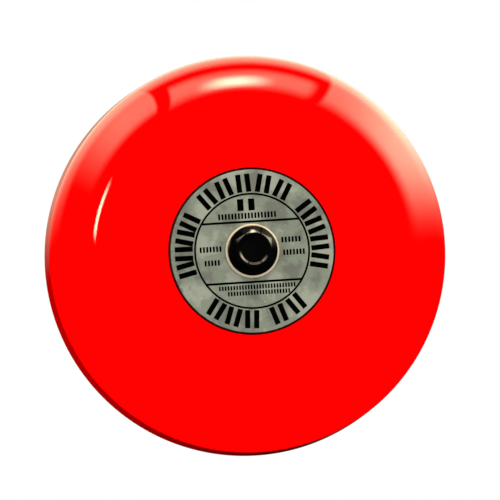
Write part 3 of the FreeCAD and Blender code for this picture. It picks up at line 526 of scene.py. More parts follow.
@dataclass(frozen=True)
class ShadeRingEnamel(Finish):
    """Glossy enamel with a painted shadow: a thin dark ring round the nameplate's edge, standing for the shade where
    the plate meets the gong.
    """

    # painted shadow: colour of the dark ring round the nameplate's edge, its inner and outer radii and the front face
    # it lies on
    shade_ring_colour: Colour = (0.03, 0.0008, 0.0008)
    shade_ring_inner: float = 0.0300
    shade_ring_outer: float = 0.0308
    shade_ring_front: float = 0.0535
    inner_fade: float = 0.0002
    outer_fade: float = 0.0004

    def colour_socket(self, sheet: NodeSheet, place: Any, surface: Any) -> bpy.types.NodeSocket:
        """Adds the painted shadow ring to the shared surface colour.

        Args:
            sheet: The material's tree.
            place: Where the patterns are read.
            surface: Outputs of the shared surface blend.

        Returns:
            The socket that feeds Base Color.
        """
        across, forward, upward = sheet.add("ShaderNodeSeparateXYZ", {0: place}).outputs
        square = sheet.plus(sheet.maths("POWER", across, 2.0), sheet.maths("POWER", upward, 2.0))
        radius = sheet.maths("SQRT", square)
        inside = sheet.ramp(radius, self.shade_ring_outer, self.shade_ring_outer - self.outer_fade)
        outside = sheet.ramp(radius, self.shade_ring_inner - self.inner_fade, self.shade_ring_inner)
        front = sheet.maths("LESS_THAN", forward, -self.shade_ring_front)
        # painted shadow: a dark ring round the nameplate's edge, on the gong's front face only
        shade_ring = sheet.times(sheet.times(inside, outside), front)
        return sheet.blend(shade_ring, surface["Colour"], self.shade_ring_colour)


ZINC: Colour = (0.66, 0.67, 0.68)
INK_FINISH = "plate_ink"
WASHER_FINISH = "passivated_zinc"

FINISHES: tuple[Finish, ...] = (
    # red_enamel carries the painted shadow ring round the nameplate's edge
    ShadeRingEnamel("red_enamel", (0.9, 0.0004, 0.0004), (0.86, 0.0003, 0.0003), 0.28, 0.4, specular=0.0, scratches=0.03,
                 dust=0.0, relief=Relief.PEEL, relief_size=230.0, relief_strength=0.05, relief_depth=0.00002,
                 coat=1.0, coat_roughness=0.015, grain_contrast=0.8),
    PrintedFoil("nameplate_foil", (0.168, 0.195, 0.14), (0.135, 0.15, 0.112), 0.34, 0.5, metallic=0.25,
                grain_scale=900.0, grain_contrast=0.5, scratches=0.15, dust=0.0, relief_strength=0.1),
    Finish(INK_FINISH, (0.0003, 0.0003, 0.0003), (0.0006, 0.0006, 0.0005), 0.5, 0.7, specular=0.0, grain_scale=1500.0,
           scratches=0.0, dust=0.0, relief_strength=0.08),
    Finish("black_steel", (0.001, 0.001, 0.001), (0.002, 0.002, 0.002), 0.3, 0.4, specular=0.0, grain_scale=700.0,
           scratches=0.05, dust=0.0, relief_strength=0.03, coat=1.0, coat_roughness=0.02),
    Finish("zinc_steel", ZINC, (0.56, 0.57, 0.6), 0.26, 0.42, metallic=0.7, grain_scale=700.0, scratches=0.4,
           dust=0.08, relief_strength=0.12),
    Finish(WASHER_FINISH, (0.64, 0.52, 0.36), (0.54, 0.43, 0.29), 0.28, 0.42, metallic=0.3, grain_scale=700.0,
           scratches=0.25, dust=0.0, relief_strength=0.08),
    Finish("bright_steel", (0.72, 0.73, 0.74), (0.62, 0.63, 0.65), 0.08, 0.18, metallic=0.85, grain_scale=800.0,
           scratches=0.25, dust=0.05, relief_strength=0.05),
    Finish("wheel_steel", (0.5, 0.51, 0.53), (0.4, 0.41, 0.44), 0.28, 0.45, metallic=0.75, grain_scale=600.0,
           scratches=0.4, relief=Relief.RINGS,
           centre=(0.0, 0.0, 0.04)),
    Finish("lamination_steel", (0.3, 0.31, 0.33), (0.22, 0.23, 0.25), 0.4, 0.6, metallic=0.8, relief=Relief.RINGS,
           relief_size=250.0, relief_strength=0.3, centre=(0.0, 0.0, 0.04)),
    Finish("red_casting", (0.5, 0.0015, 0.0015), (0.41, 0.001, 0.001), 0.34, 0.5, specular=0.2,
           grain_contrast=0.6, scratches=0.08, dust=0.07, relief=Relief.PITS, relief_size=650.0,
           relief_strength=0.22, relief_depth=0.00008),
    Finish("black_rubber", (0.012, 0.012, 0.013), (0.028, 0.028, 0.029), 0.6, 0.85, specular=0.35, grain_scale=900.0,
           scratches=0.1, dust=0.3, relief=Relief.PITS, relief_size=1600.0, relief_strength=0.3),
    Finish("grey_foam", (0.1, 0.1, 0.105), (0.17, 0.17, 0.175), 0.8, 0.95, specular=0.2, grain_scale=1400.0,
           scratches=0.0, relief=Relief.PITS, relief_size=2200.0, relief_strength=0.6),
    Finish("black_moulding", (0.016, 0.016, 0.018), (0.027, 0.027, 0.029), 0.42, 0.6, grain_scale=800.0,
           scratches=0.25, dust=0.15, relief=Relief.PITS, relief_size=1500.0, relief_strength=0.25),
    Finish("white_nylon", (0.78, 0.76, 0.69), (0.69, 0.67, 0.6), 0.4, 0.55, grain_scale=300.0, scratches=0.1,
           relief_strength=0.08),
    Finish("green_board", (0.008, 0.13, 0.045), (0.02, 0.2, 0.08), 0.28, 0.42, grain_scale=350.0,
           grain_contrast=0.12, scratches=0.1, relief_strength=0.12),
    Finish("terminal_green", (0.03, 0.27, 0.14), (0.05, 0.34, 0.19), 0.35, 0.5, scratches=0.1,
           relief_strength=0.1),
    Finish("varistor_blue", (0.02, 0.1, 0.38), (0.035, 0.15, 0.48), 0.25, 0.4, grain_scale=300.0, scratches=0.05,
           relief=Relief.PEEL, relief_size=400.0, relief_strength=0.2),
    Finish("capacitor_sleeve", (0.02, 0.02, 0.045), (0.03, 0.03, 0.06), 0.2, 0.34, scratches=0.1,
           relief_strength=0.06),
    Finish("bronze", (0.48, 0.29, 0.13), (0.37, 0.21, 0.09), 0.38, 0.58, metallic=0.85, grain_scale=1200.0,
           relief=Relief.PITS, relief_size=2500.0, relief_strength=0.2),
    Finish("ferrite", (0.055, 0.055, 0.06), (0.09, 0.09, 0.095), 0.5, 0.68, metallic=0.2, grain_scale=900.0,
           scratches=0.3, relief_strength=0.2),
    Finish("brass_strip", (0.72, 0.5, 0.18), (0.58, 0.39, 0.13), 0.24, 0.4, metallic=0.85, scratches=0.35,
           relief_strength=0.1),
    Finish("copper_wire", (0.72, 0.27, 0.11), (0.55, 0.17, 0.06), 0.2, 0.36, metallic=0.85, relief=Relief.RINGS,
           relief_size=250.0, relief_strength=0.4, centre=(0.0, 0.0, 0.04)),
    Finish("lead_black", (0.014, 0.014, 0.015), (0.024, 0.024, 0.025), 0.38, 0.52, scratches=0.1,
           relief_strength=0.1),
    Finish("lead_red", (0.52, 0.012, 0.01), (0.42, 0.01, 0.008), 0.38, 0.52, scratches=0.1, relief_strength=0.1),
)


class Wardrobe:
    """Every finish as a material, and the dressing of pieces in them."""

    def __init__(self, effects: SurfaceEffects) -> None:
        """Builds each material once, from the shared groups."""
        self.materials = {finish.slot: finish.build(effects) for finish in FINISHES}

    def dress(self, piece: bpy.types.Object, slot: str) -> None:
        """Gives a piece one material.

        Args:
            piece: The mesh object.
            slot: Name of the finish.
        """
        if not piece.material_slots:
            piece.data.materials.append(self.materials[slot])
        for place in piece.material_slots:
            place.material = self.materials[slot]

    def dress_frame(self) -> None:
        """Dresses every node of the frame in the finish of its own slot."""
        for subpart in frame["record"]["subparts"]:
            slot = subpart["material_slot"]
            self.dress(frame["nodes"][subpart["node"]], slot)
            LOG.info("%s wears %s", subpart["node"], slot)


# ---------------------------------------------------------------- geometry recipes


def applied(piece: bpy.types.Object) -> bpy.types.Mesh:
    """Returns the object's mesh with its modifiers carried out."""
    graph = bpy.context.evaluated_depsgraph_get()
    return bpy.data.meshes.new_from_object(piece.evaluated_get(graph), depsgraph=graph)


class Recipe:
    """A geometry node tree with named inputs, run once to make the plain mesh of a piece."""

    def __init__(self, name: str, inputs: dict[str, str]) -> None:
        """Makes the tree with its inputs.

        Args:
            name: The tree's name.
            inputs: Input names with their socket types.
        """
        self.tree = bpy.data.node_groups.new(name, "GeometryNodeTree")
        self.tree.interface.new_socket("Geometry", in_out="INPUT", socket_type="NodeSocketGeometry")
        for socket_name, kind in inputs.items():
            self.tree.interface.new_socket(socket_name, in_out="INPUT", socket_type=kind)
        self.tree.interface.new_socket("Geometry", in_out="OUTPUT", socket_type="NodeSocketGeometry")
        self.sheet = NodeSheet(self.tree)
        self.given = self.tree.nodes.new("NodeGroupInput").outputs

    def end_with(self, geometry: bpy.types.NodeSocket) -> None:
        """Ends the tree: instances made real, the material set.

        Args:
            geometry: The socket of the finished shape.
        """
        real = self.sheet.add("GeometryNodeRealizeInstances", {0: geometry}).outputs[0]
        dressed = self.sheet.add("GeometryNodeSetMaterial", {"Geometry": real, "Material": self.given["Finish"]})
        result = self.tree.nodes.new("NodeGroupOutput").inputs
        self.sheet.feed(result["Geometry"], dressed.outputs[0])

    def end_on_face(self, drawing: bpy.types.NodeSocket) -> None:
        """Ends the tree with a flat drawing stood upright at the depth given as Face.

        Args:
            drawing: The drawing, made level.
        """
        onto_face = self.sheet.add("ShaderNodeCombineXYZ", {"Y": self.given["Face"]}).outputs[0]
        inputs = {"Geometry": drawing, "Translation": onto_face, "Rotation": (math.pi / 2, 0.0, 0.0)}
        self.end_with(self.sheet.add("GeometryNodeTransform", inputs).outputs[0])

    def run(self, values: dict[str, Any], start: bpy.types.Mesh | None = None) -> bpy.types.Mesh:
        """Runs the tree.

        Args:
            values: What each named input is set to.
            start: The mesh that the tree starts from, if it needs one.

        Returns:
            The made mesh.
        """
        worker = bpy.data.objects.new("worker", start or bpy.data.meshes.new("worker"))
        modifier = worker.modifiers.new("recipe", "NODES")
        modifier.node_group = self.tree
        for socket in self.tree.interface.items_tree:
            if socket.in_out == "INPUT" and socket.name in values:
                modifier[socket.identifier] = values[socket.name]
        bpy.context.scene.collection.objects.link(worker)
        made = applied(worker)
        worker.modifiers.remove(modifier)
        bpy.data.objects.remove(worker)
        return made


class LatheRecipe(Recipe):
    """Turns a closed section of (radius, height) points about the Y axis."""

    def __init__(self) -> None:
        """Builds the tree: a grid whose columns are the section's points, wrapped round and closed."""
        super().__init__(
            "turned_section",
            {"Section Points": "NodeSocketInt", "Segments": "NodeSocketInt", "Finish": "NodeSocketMaterial"},
        )
        sheet, given = self.sheet, self.given
        columns = sheet.plus(given["Segments"], 1.0)
        rows = sheet.plus(given["Section Points"], 1.0)
        grid = sheet.add("GeometryNodeMeshGrid", {"Vertices X": columns, "Vertices Y": rows}).outputs["Mesh"]
        index = sheet.add("GeometryNodeInputIndex").outputs[0]
        row = sheet.maths("MODULO", sheet.maths("MODULO", index, rows), given["Section Points"])
        column = sheet.maths("FLOOR", sheet.maths("DIVIDE", sheet.plus(index, 0.5), rows))
        section = sheet.add(
            "GeometryNodeSampleIndex",
            {
                "Geometry": given["Geometry"],
                "Value": sheet.add("GeometryNodeInputPosition").outputs[0],
                "Index": row,
            },
            data_type="FLOAT_VECTOR",
        ).outputs[0]
        radius, height, _ = sheet.add("ShaderNodeSeparateXYZ", {0: section}).outputs
        turn = sheet.times(sheet.maths("DIVIDE", column, given["Segments"]), math.tau)
        across = sheet.times(radius, sheet.maths("COSINE", turn))
        upward = sheet.times(radius, sheet.maths("SINE", turn))
        forward = sheet.times(height, -1.0)
        place = sheet.add("ShaderNodeCombineXYZ", {"X": across, "Y": forward, "Z": upward}).outputs[0]
        wrapped = sheet.add("GeometryNodeSetPosition", {"Geometry": grid, "Position": place}).outputs[0]
        closed = sheet.add("GeometryNodeMergeByDistance", {"Geometry": wrapped, "Distance": 1e-7}).outputs[0]
        self.end_with(sheet.add("GeometryNodeSetShadeSmooth", {"Geometry": closed}).outputs[0])


class InkRecipe(Recipe):
    """Prints rows of small bars on a flat that faces the front, each row repeated round the flat's centre."""

    def __init__(self) -> None:
        """Builds the tree: a bar, a row of bars, copies of the row turned about the centre."""
        super().__init__(
            "printed_bars",
            {
                "Bars": "NodeSocketInt",
                "Pitch": "NodeSocketFloat",
                "Bar Size": "NodeSocketVector",
                "Row Centre": "NodeSocketVector",
                "Copies": "NodeSocketInt",
                "First Turn": "NodeSocketFloat",
                "Turn Step": "NodeSocketFloat",
                "Face": "NodeSocketFloat",
                "Finish": "NodeSocketMaterial",
            },
        )
        sheet, given = self.sheet, self.given
        index = sheet.add("GeometryNodeInputIndex").outputs[0]
        bar = sheet.add("GeometryNodeMeshCube", {"Size": given["Bar Size"]}).outputs["Mesh"]
        middle = sheet.times(sheet.maths("SUBTRACT", given["Bars"], 1.0), 0.5)
        offset = sheet.times(sheet.maths("SUBTRACT", index, middle), given["Pitch"])
        place = sheet.add(
            "ShaderNodeVectorMath",
            {0: sheet.add("ShaderNodeCombineXYZ", {"X": offset}).outputs[0], 1: given["Row Centre"]},
            operation="ADD",
        ).outputs[0]
        row = self.repeat(given["Bars"], bar, place, None)
        turn = sheet.plus(given["First Turn"], sheet.times(index, given["Turn Step"]))
        turned = sheet.add("ShaderNodeCombineXYZ", {"Z": turn}).outputs[0]
        copies = self.repeat(given["Copies"], row, None, turned)
        self.end_on_face(copies)

    def repeat(self, count: Any, shape: Any, place: Any, turn: Any) -> bpy.types.NodeSocket:
        """Puts copies of a shape on points.

        Args:
            count: How many copies.
            shape: The geometry to copy.
            place: Each copy's position, or None at the origin.
            turn: Each copy's rotation, or None.

        Returns:
            The instances.
        """
        points = self.sheet.add("GeometryNodePoints", {"Count": count}).outputs[0]
        if place is not None:
            points = self.sheet.add("GeometryNodeSetPosition", {"Geometry": points, "Position": place}).outputs[0]
        inputs = {"Points": points, "Instance": shape}
        if turn is not None:
            inputs["Rotation"] = turn
        return self.sheet.add("GeometryNodeInstanceOnPoints", inputs).outputs[0]


class InkRingRecipe(Recipe):
    """Prints a thin ring on a flat that faces the front."""

    def __init__(self) -> None:
        """Builds the tree: a circle with a flat rectangle swept round it."""
        super().__init__(
            "printed_ring",
            {
                "Radius": "NodeSocketFloat",
                "Line Width": "NodeSocketFloat",
                "Ink Depth": "NodeSocketFloat",
                "Face": "NodeSocketFloat",
                "Finish": "NodeSocketMaterial",
            },
        )
        sheet, given = self.sheet, self.given
        circle = sheet.add("GeometryNodeCurvePrimitiveCircle", {"Resolution": 180, "Radius": given["Radius"]})
        section = sheet.add(
            "GeometryNodeCurvePrimitiveQuadrilateral", {"Width": given["Line Width"], "Height": given["Ink Depth"]}
        )
        ring = sheet.add(
            "GeometryNodeCurveToMesh", {"Curve": circle.outputs["Curve"], "Profile Curve": section.outputs["Curve"]}
        ).outputs[0]
        self.end_on_face(ring)


# ---------------------------------------------------------------- mesh helpers


def add_piece(name: str, mesh: bpy.types.Mesh) -> bpy.types.Object:
    """Puts a mesh in the scene as a piece.

    Args:
        name: The piece's name.
        mesh: Its mesh, in place.

    Returns:
        The new object.
    """
    mesh.name = name
    piece = bpy.data.objects.new(name, mesh)
    bpy.context.scene.collection.objects.link(piece)
    return piece


def joined(meshes: list[bpy.types.Mesh]) -> bpy.types.Mesh:
    """Joins meshes into one that faces outwards.

    Args:
        meshes: The meshes, all with the same material.

    Returns:
        The joined mesh.
    """
    work = bmesh.new()
    for mesh in meshes:
        work.from_mesh(mesh)
    bmesh.ops.recalc_face_normals(work, faces=work.faces)
    whole = bpy.data.meshes.new("joined")
    work.to_mesh(whole)
    work.free()
    for material in meshes[0].materials:
        whole.materials.append(material)
    return whole


def softened_copy(node: str, name: str, width: float, sharp: float = 26.0) -> bpy.types.Object:
    """Copies a node of the frame with its sharp edges rounded off.

    Args:
        node: The node's name.
        name: The new piece's name.
        width: Width of the rounding, in metres.
        sharp: Angle in degrees over which an edge is rounded.

    Returns:
        The new piece.
    """
    mesh = frame["nodes"][node].data.copy()
    work = bmesh.new()
    work.from_mesh(mesh)
    bmesh.ops.remove_doubles(work, verts=work.verts, dist=MERGE_DISTANCE)
    bmesh.ops.dissolve_limit(work, angle_limit=math.radians(FLAT_ANGLE), verts=work.verts, edges=work.edges)
    bmesh.ops.recalc_face_normals(work, faces=work.faces)
    clean = bpy.data.meshes.new(name)
    work.to_mesh(clean)
    work.free()
    clean.shade_smooth()
    piece = add_piece(name, clean)
    bevel = piece.modifiers.new("rounded_edges", "BEVEL")
    bevel.width = width
    bevel.segments = 3
    bevel.limit_method = "ANGLE"
    bevel.angle_limit = math.radians(sharp)
    bevel.use_clamp_overlap = True
    piece.modifiers.new("even_shading", "WEIGHTED_NORMAL").keep_sharp = True
    made = applied(piece)
    piece.modifiers.clear()
    piece.data = made
    bpy.data.meshes.remove(clean)
    made.name = name
    return piece


# ---------------------------------------------------------------- sub-assemblies


@dataclass(frozen=True)
class Gong:
    """The pressed steel gong in glossy enamel: lengths in metres, angles in degrees."""

    wall: float = 1.6 * MM
    draft: float = 4.0
    shoulder: float = 20.0 * MM
    crown: float = 250.0 * MM
    crown_slope: float = 5.3
    hole: float = 6.5 * MM
    rounding: float = 0.5 * MM
    support: float = 0.25 * MM
    segments: int = 256
    edge_steps: int = 6
    rim_steps: int = 8
    crown_steps: tuple[int, int] = (28, 14)
    shoulder_steps: tuple[int, int] = (72, 40)
    wall_shares: tuple[float, ...] = (0.02, 0.25, 0.5, 0.75, 0.97)

    def arc(
        self, middle: tuple[float, float], radius: float, start: float, end: float, steps: int
    ) -> list[tuple[float, float]]:
        """Finds points on an arc of the section.

        Args:
            middle: The arc's centre as (radius, height).
            radius: Its radius.
            start: First angle in degrees, from the front towards the rim.
            end: Last angle in degrees.
            steps: Number of steps between them.

        Returns:
            The points from start to end.
        """
        angles = (math.radians(start + (end - start) * i / steps) for i in range(steps + 1))
        return [(middle[0] + radius * math.sin(a), middle[1] + radius * math.cos(a)) for a in angles]

    def section(self) -> list[tuple[float, float]]:
        """Works out the closed section, with rounded rim and hole edges.

        Returns:
            Its (radius, height) points in order.
        """
        low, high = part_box("gong")
        rim_radius, rim_height, front = high.x, -high.y, -low.y
        draft, slope = math.radians(self.draft), math.radians(self.crown_slope)
        middle_height = front - self.crown + (self.crown - self.shoulder) * math.cos(slope)
        run = (middle_height + self.shoulder * math.sin(draft) - rim_height) * math.tan(draft)
        middle_radius = rim_radius - run - self.shoulder * math.cos(draft)
        seat = middle_radius - (self.crown - self.shoulder) * math.sin(slope)
        shoulder_middle = (middle_radius, middle_height)
        crown_middle = (seat, front - self.crown)
        steep = 90.0 - self.draft
        nip, inner = self.rounding, self.shoulder - self.wall
        rear = front - self.wall
        outer_wall = rim_radius - nip
        inner_wall = rim_radius - self.wall / math.cos(draft) + nip
        outline = [
            *self.arc((self.hole + nip, front - nip), nip, -90.0, 0.0, self.edge_steps),
            (self.hole + nip + self.support, front),
            (seat - self.support, front),
            *self.arc(crown_middle, self.crown, 0.0, self.crown_slope, self.crown_steps[0]),
            *self.arc(shoulder_middle, self.shoulder, self.crown_slope, steep, self.shoulder_steps[0])[1:],
        ]
        wall_top = outline[-1]
        wall_foot = (outer_wall + nip * math.cos(draft), rim_height + nip * (1 + math.sin(draft)))
        outline += [
            (wall_top[0] + (wall_foot[0] - wall_top[0]) * share, wall_top[1] + (wall_foot[1] - wall_top[1]) * share)
            for share in self.wall_shares
        ]
        outline += [
            *self.arc((outer_wall, rim_height + nip), nip, steep, 180.0, self.rim_steps),
            *self.arc((inner_wall, rim_height + nip), nip, 180.0, 270.0 - self.draft, self.rim_steps),
            *self.arc(shoulder_middle, inner, steep, self.crown_slope, self.shoulder_steps[1]),
            *self.arc(crown_middle, self.crown - self.wall, self.crown_slope, 0.0, self.crown_steps[1])[1:],
            (seat - self.support, rear),
            (self.hole + nip + self.support, rear),
            *self.arc((self.hole + nip, rear + nip), nip, 180.0, 270.0, self.edge_steps),
        ]
        return outline

    def build(self, lathe: LatheRecipe, wardrobe: Wardrobe) -> bpy.types.Object:
        """Turns the gong and puts it in place of the frame's plain one.

        Args:
            lathe: The recipe that turns a section.
            wardrobe: The finishes.

        Returns:
            The gong's piece.
        """
        points = self.section()
        mesh = bpy.data.meshes.new("gong_section")
        mesh.from_pydata([(radius, height, 0.0) for radius, height in points], [], [])
        turned = lathe.run(
            {
                "Section Points": len(points),
                "Segments": self.segments,
                "Finish": wardrobe.materials["red_enamel"],
            },
            mesh,
        )
        shell = joined([turned])
        shell.shade_smooth()
        piece = add_piece("enamelled_gong", shell)
        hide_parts("gong")
        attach(piece, "gong")
        return piece


@dataclass(frozen=True)
class RowOfBars:
    """A printed row: place on the plate, bars and their size, in millimetres."""

    across: float
    up: float
    bars: int
    pitch: float
    bar_width: float
    bar_height: float


@dataclass(frozen=True)
class ArcOfMarks:
    """Bold marks of a few bars each, evenly spaced round the plate between two angles in degrees."""

    first: float
    last: float
    marks: int


@dataclass(frozen=True)
class Nameplate:
    """The round foil plate's generic print: rings, chord lines, bold bar marks and fine tick rows."""

    lean: float = 3.8
    ink_depth: float = 0.03
    outline_radius: float = 29.84
    outline_width: float = 0.3
    inner_radius: float = 20.8
    inner_width: float = 0.7
    upper_chord: float = 10.7
    lower_chord: float = -11.3
    chord_width: float = 0.8
    mark_middle: float = 24.85
    mark_height: float = 6.6
    mark_bars: int = 2
    mark_bar: float = 1.9
    mark_pitch: float = 3.3
    marks: tuple[ArcOfMarks, ...] = (
        ArcOfMarks(196.5, 155.7, 4),
        ArcOfMarks(131.3, 63.9, 5),
        ArcOfMarks(37.7, -7.8, 4),
        ArcOfMarks(238.7, 270.0, 3),
        ArcOfMarks(293.1, 310.2, 2),
    )
    rows: tuple[RowOfBars, ...] = (
        RowOfBars(-1.2, 16.9, 2, 4.05, 2.3, 4.3),
        RowOfBars(-1.0, 12.9, 18, 1.2, 0.7, 2.1),
        RowOfBars(-15.1, 1.4, 7, 1.2, 0.7, 2.0),
        RowOfBars(-14.8, -3.6, 5, 1.2, 0.7, 2.0),
        RowOfBars(14.4, 3.4, 6, 1.25, 0.75, 2.0),
        RowOfBars(15.2, -1.25, 7, 1.2, 0.7, 2.0),
        RowOfBars(1.0, -13.1, 27, 1.05, 0.6, 1.6),
        RowOfBars(1.5, -15.2, 22, 1.05, 0.6, 1.6),
    )

    def chord(self, up: float) -> RowOfBars:
        """Returns the straight line across the inner ring at that height."""
        length = 2.0 * math.sqrt(self.inner_radius**2 - up**2)
        return RowOfBars(0.0, up, 1, 0.0, length, self.chord_width)

    def build(self, ink: InkRecipe, rings: InkRingRecipe, wardrobe: Wardrobe) -> bpy.types.Object:
        """Prints the plate.

        Args:
            ink: The recipe for rows of bars.
            rings: The recipe for rings.
            wardrobe: The finishes.

        Returns:
            The print's piece.
        """
        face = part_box("nameplate")[0].y - self.ink_depth * MM / 2
        common = {"Face": face, "Finish": wardrobe.materials[INK_FINISH]}
        made = []
        for radius, width in ((self.outline_radius, self.outline_width), (self.inner_radius, self.inner_width)):
            sizes = {"Radius": radius * MM, "Line Width": width * MM, "Ink Depth": self.ink_depth * MM}
            made.append(rings.run({**common, **sizes}))
        for row in (*self.rows, self.chord(self.upper_chord), self.chord(self.lower_chord)):
            made.append(ink.run({**common, **self.row_values(row)}))
        for arc in self.marks:
            made.append(ink.run({**common, **self.mark_values(arc)}))
        piece = add_piece("nameplate_print", joined(made))
        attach(piece, "gong")
        return piece

    def row_values(self, row: RowOfBars) -> dict[str, Any]:
        """Returns the inputs that print one straight row."""
        return {
            "Bars": row.bars,
            "Pitch": row.pitch * MM,
            "Bar Size": (row.bar_width * MM, row.bar_height * MM, self.ink_depth * MM),
            "Row Centre": (row.across * MM, row.up * MM, 0.0),
            "Copies": 1,
            "First Turn": math.radians(self.lean),
            "Turn Step": 0.0,
        }

    def mark_values(self, arc: ArcOfMarks) -> dict[str, Any]:
        """Returns the inputs that print one arc of bold marks."""
        quarter = 90.0
        return {
            "Bars": self.mark_bars,
            "Pitch": self.mark_pitch * MM,
            "Bar Size": (self.mark_bar * MM, self.mark_height * MM, self.ink_depth * MM),
            "Row Centre": (0.0, self.mark_middle * MM, 0.0),
            "Copies": arc.marks,
            "First Turn": math.radians(arc.first - quarter),
            "Turn Step": math.radians((arc.last - arc.first) / (arc.marks - 1)),
        }


@dataclass(frozen=True)
class CentreBolt:
    """The polished flange bolt and its washer, with their edges rounded off."""

    bolt_rounding: float = 0.22 * MM
    washer_rounding: float = 0.25 * MM

    def build(self, wardrobe: Wardrobe) -> list[bpy.types.Object]:
        """Makes the bolt and the washer.

        Args:
            wardrobe: The finishes.

        Returns:
            The two pieces.
        """
        pieces = []
        for node, name, body, slot, finish, width in (
            ("centre_bolt", "polished_bolt", "bolt", "black_steel", "black_steel", self.bolt_rounding),
            ("bolt_washer", "bright_washer", "bolt_washers", "zinc_steel", WASHER_FINISH, self.washer_rounding),
        ):
            piece = softened_copy(node, name, width)
            wardrobe.dress(piece, finish)
            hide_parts(node)
            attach(piece, body)
            pieces.append(piece)
        return pieces


# ---------------------------------------------------------------- studio


@dataclass(frozen=True)
class SoftPanel:
    """One soft light panel, as glossy surfaces see it.

    Turn is in degrees anticlockwise from the viewer's right, tilt in degrees from straight ahead
    to straight behind. Each gives where the light starts, is full, is still full, and has ended.
    """

    turn: tuple[float, float, float, float]
    tilt: tuple[float, float, float, float]
    strength: float

    def glow(self, sheet: NodeSheet, turn: Any, tilt: Any) -> bpy.types.NodeSocket:
        """Works out the panel's light in one direction.

        Args:
            sheet: The world's tree.
            turn: The direction's turn.
            tilt: The direction's tilt.

        Returns:
            The light's strength.
        """
        light: Any = self.strength
        for angle, (start, full, still_full, end) in ((turn, self.turn), (tilt, self.tilt)):
            light = sheet.times(sheet.ramp(angle, start, full), light)
            light = sheet.times(sheet.ramp(angle, end, still_full), light)
        return light


@dataclass(frozen=True)
class Lamp:
    """A large soft lamp that lights the object but doesn't show in its gloss."""

    name: str
    place: Place
    size: float
    power: float

    def build(self) -> None:
        """Puts the lamp in the scene, aimed at the object."""
        data = bpy.data.lights.new(self.name, "AREA")
        data.size = self.size
        data.energy = self.power
        lamp = bpy.data.objects.new(self.name, data)
        lamp.location = self.place
        lamp.rotation_euler = Vector(self.place).to_track_quat("Z", "Y").to_euler()
        lamp.visible_glossy = False
        lamp.visible_camera = False
        bpy.context.scene.collection.objects.link(lamp)


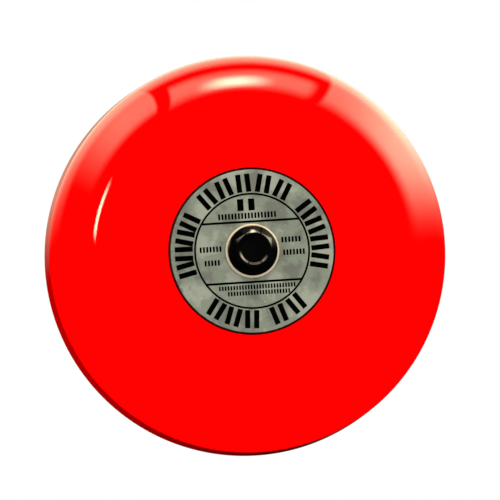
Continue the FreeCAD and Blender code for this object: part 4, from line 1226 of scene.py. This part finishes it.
@dataclass(frozen=True)
class Studio:
    """Plain soft studio: white surround, soft panels, lamps and a pale floor well below the object."""

    panels: tuple[SoftPanel, ...] = (
        SoftPanel((64.0, 68.0, 111.0, 112.5), (33.0, 60.0, 72.0, 97.0), 3.4),
        SoftPanel((76.0, 89.0, 91.0, 104.0), (40.0, 57.0, 59.0, 78.0), 22.0),
        SoftPanel((6.0, 34.0, 35.0, 60.0), (33.0, 66.0, 70.0, 168.0), 4.5),
        SoftPanel((11.0, 34.0, 60.5, 62.5), (33.0, 66.0, 70.0, 168.0), 4.0),
        SoftPanel((116.5, 118.0, 128.0, 157.0), (42.0, 63.0, 72.0, 150.0), 3.8),
        SoftPanel((139.0, 150.0, 161.0, 168.0), (17.0, 19.5, 22.5, 25.0), 26.0),
        SoftPanel((15.0, 45.0, 130.0, 175.0), (102.0, 125.0, 150.0, 180.0), 1.9),
        SoftPanel((-181.0, -180.0, 180.0, 181.0), (172.0, 177.0, 181.0, 182.0), 1.4),
    )
    lamps: tuple[Lamp, ...] = (
        Lamp("front_lamp", (0.2, -1.25, 0.35), 0.9, 10.0),
        Lamp("rear_lamp", (-0.8, 1.0, 0.8), 0.9, 6.0),
    )
    panel_tint: Colour = (1.14, 1.0, 0.68)
    ambient_front: float = 1.5
    ambient_rear: float = 0.8
    ambient_below: float = 0.75
    low_side_glow: float = 6.0
    rear_fade: tuple[float, float] = (160.0, 125.0)
    below_fade: tuple[float, float] = (-1.0, -0.9)
    side_band: tuple[float, float, float, float] = (84.0, 96.0, 112.0, 132.0)
    low_fade: tuple[float, float] = (0.25, -0.2)
    floor_drop: float = 0.24
    floor_radius: float = 1.8
    floor_segments: int = 96

    def build_world(self) -> None:
        """Makes the surround: white to the camera, panels to gloss, an even glow to everything else."""
        world = bpy.data.worlds.new("studio")
        bpy.context.scene.world = world
        world.use_nodes = True
        sheet = NodeSheet(world.node_tree)
        world.node_tree.nodes.clear()
        across, forward, upward = sheet.add(
            "ShaderNodeSeparateXYZ", {0: sheet.add("ShaderNodeTexCoord").outputs["Generated"]}
        ).outputs
        tilt = sheet.maths("DEGREES", sheet.maths("ARCCOSINE", sheet.times(forward, -1.0)))
        turn = sheet.maths("DEGREES", sheet.maths("ARCTAN2", upward, across))
        gloss: Any = 0.0
        for panel in self.panels:
            gloss = sheet.plus(gloss, panel.glow(sheet, turn, tilt))
        front = sheet.ramp(tilt, *self.rear_fade, self.ambient_rear, self.ambient_front)
        below = sheet.ramp(upward, *self.below_fade, self.ambient_below, 1.0)
        start, full, still_full, end = self.side_band
        beside = sheet.times(sheet.ramp(tilt, start, full), sheet.ramp(tilt, end, still_full))
        low = sheet.ramp(upward, *self.low_fade, 0.0, self.low_side_glow)
        wrap = sheet.times(beside, low)
        glow = sheet.plus(sheet.times(front, below), wrap)
        rays = sheet.add("ShaderNodeLightPath").outputs
        seen = sheet.add("ShaderNodeMix", {0: rays["Is Glossy Ray"], 2: glow, 3: gloss}).outputs[0]
        seen = sheet.add("ShaderNodeMix", {0: rays["Is Camera Ray"], 2: seen, 3: 1.0}).outputs[0]
        tint = sheet.blend(rays["Is Glossy Ray"], (1.0, 1.0, 1.0), self.panel_tint)
        light = sheet.add("ShaderNodeBackground", {"Color": tint, "Strength": seen})
        output = sheet.add("ShaderNodeOutputWorld")
        sheet.feed(output.inputs["Surface"], light.outputs[0])

    def build_floor(self) -> None:
        """Lays the pale floor below the object."""
        work = bmesh.new()
        bmesh.ops.create_circle(work, cap_ends=True, radius=self.floor_radius, segments=self.floor_segments)
        for vertex in work.verts:
            vertex.co.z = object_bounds()[0][2] - self.floor_drop
        mesh = bpy.data.meshes.new("floor")
        work.to_mesh(mesh)
        work.free()
        material = bpy.data.materials.new("pale_floor")
        material.use_nodes = True
        shader = material.node_tree.nodes["Principled BSDF"]
        shader.inputs["Base Color"].default_value = (0.8, 0.8, 0.79, 1.0)
        shader.inputs["Roughness"].default_value = 0.8
        mesh.materials.append(material)
        floor = add_piece("floor", mesh)
        floor.visible_glossy = False
        floor.visible_diffuse = False
        floor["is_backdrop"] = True

    def build(self) -> None:
        """Makes the surround, the lamps and the floor."""
        self.build_world()
        for lamp in self.lamps:
            lamp.build()
        self.build_floor()
        bpy.context.scene.view_settings.view_transform = "Standard"


@dataclass(frozen=True)
class Viewpoint:
    """Where the camera stands: aim and distance in metres, degrees round and above, lens in millimetres."""

    aim: Place = (1.085 * MM, -30.0 * MM, 1.627 * MM)
    azimuth: float = -4.406
    elevation: float = -3.069
    distance: float = 1.1
    lens: float = 213.1

    def build(self) -> None:
        """Makes the camera the scene's own."""
        turn, lift = math.radians(self.azimuth), math.radians(self.elevation)
        back = Vector((math.sin(turn) * math.cos(lift), -math.cos(turn) * math.cos(lift), math.sin(lift)))
        data = bpy.data.cameras.new("camera")
        data.lens = self.lens
        data.sensor_width = 36.0
        data.clip_start = 0.01
        camera = bpy.data.objects.new("camera", data)
        camera.location = Vector(self.aim) + back * self.distance
        camera.rotation_euler = back.to_track_quat("Z", "Y").to_euler()
        bpy.context.scene.collection.objects.link(camera)
        bpy.context.scene.camera = camera


def main() -> None:
    """Builds the camera, the finishes, each sub-assembly and the studio, and reports each piece."""
    logging.basicConfig(level=logging.INFO, format="%(message)s")
    Viewpoint().build()
    wardrobe = Wardrobe(SurfaceEffects())
    wardrobe.dress_frame()
    made = [
        Gong().build(LatheRecipe(), wardrobe),
        Nameplate().build(InkRecipe(), InkRingRecipe(), wardrobe),
        *CentreBolt().build(wardrobe),
    ]
    for piece in made:
        LOG.info("%s has %d faces", piece.name, len(piece.data.polygons))
    Studio().build()


if __name__ == "__main__":
    main()
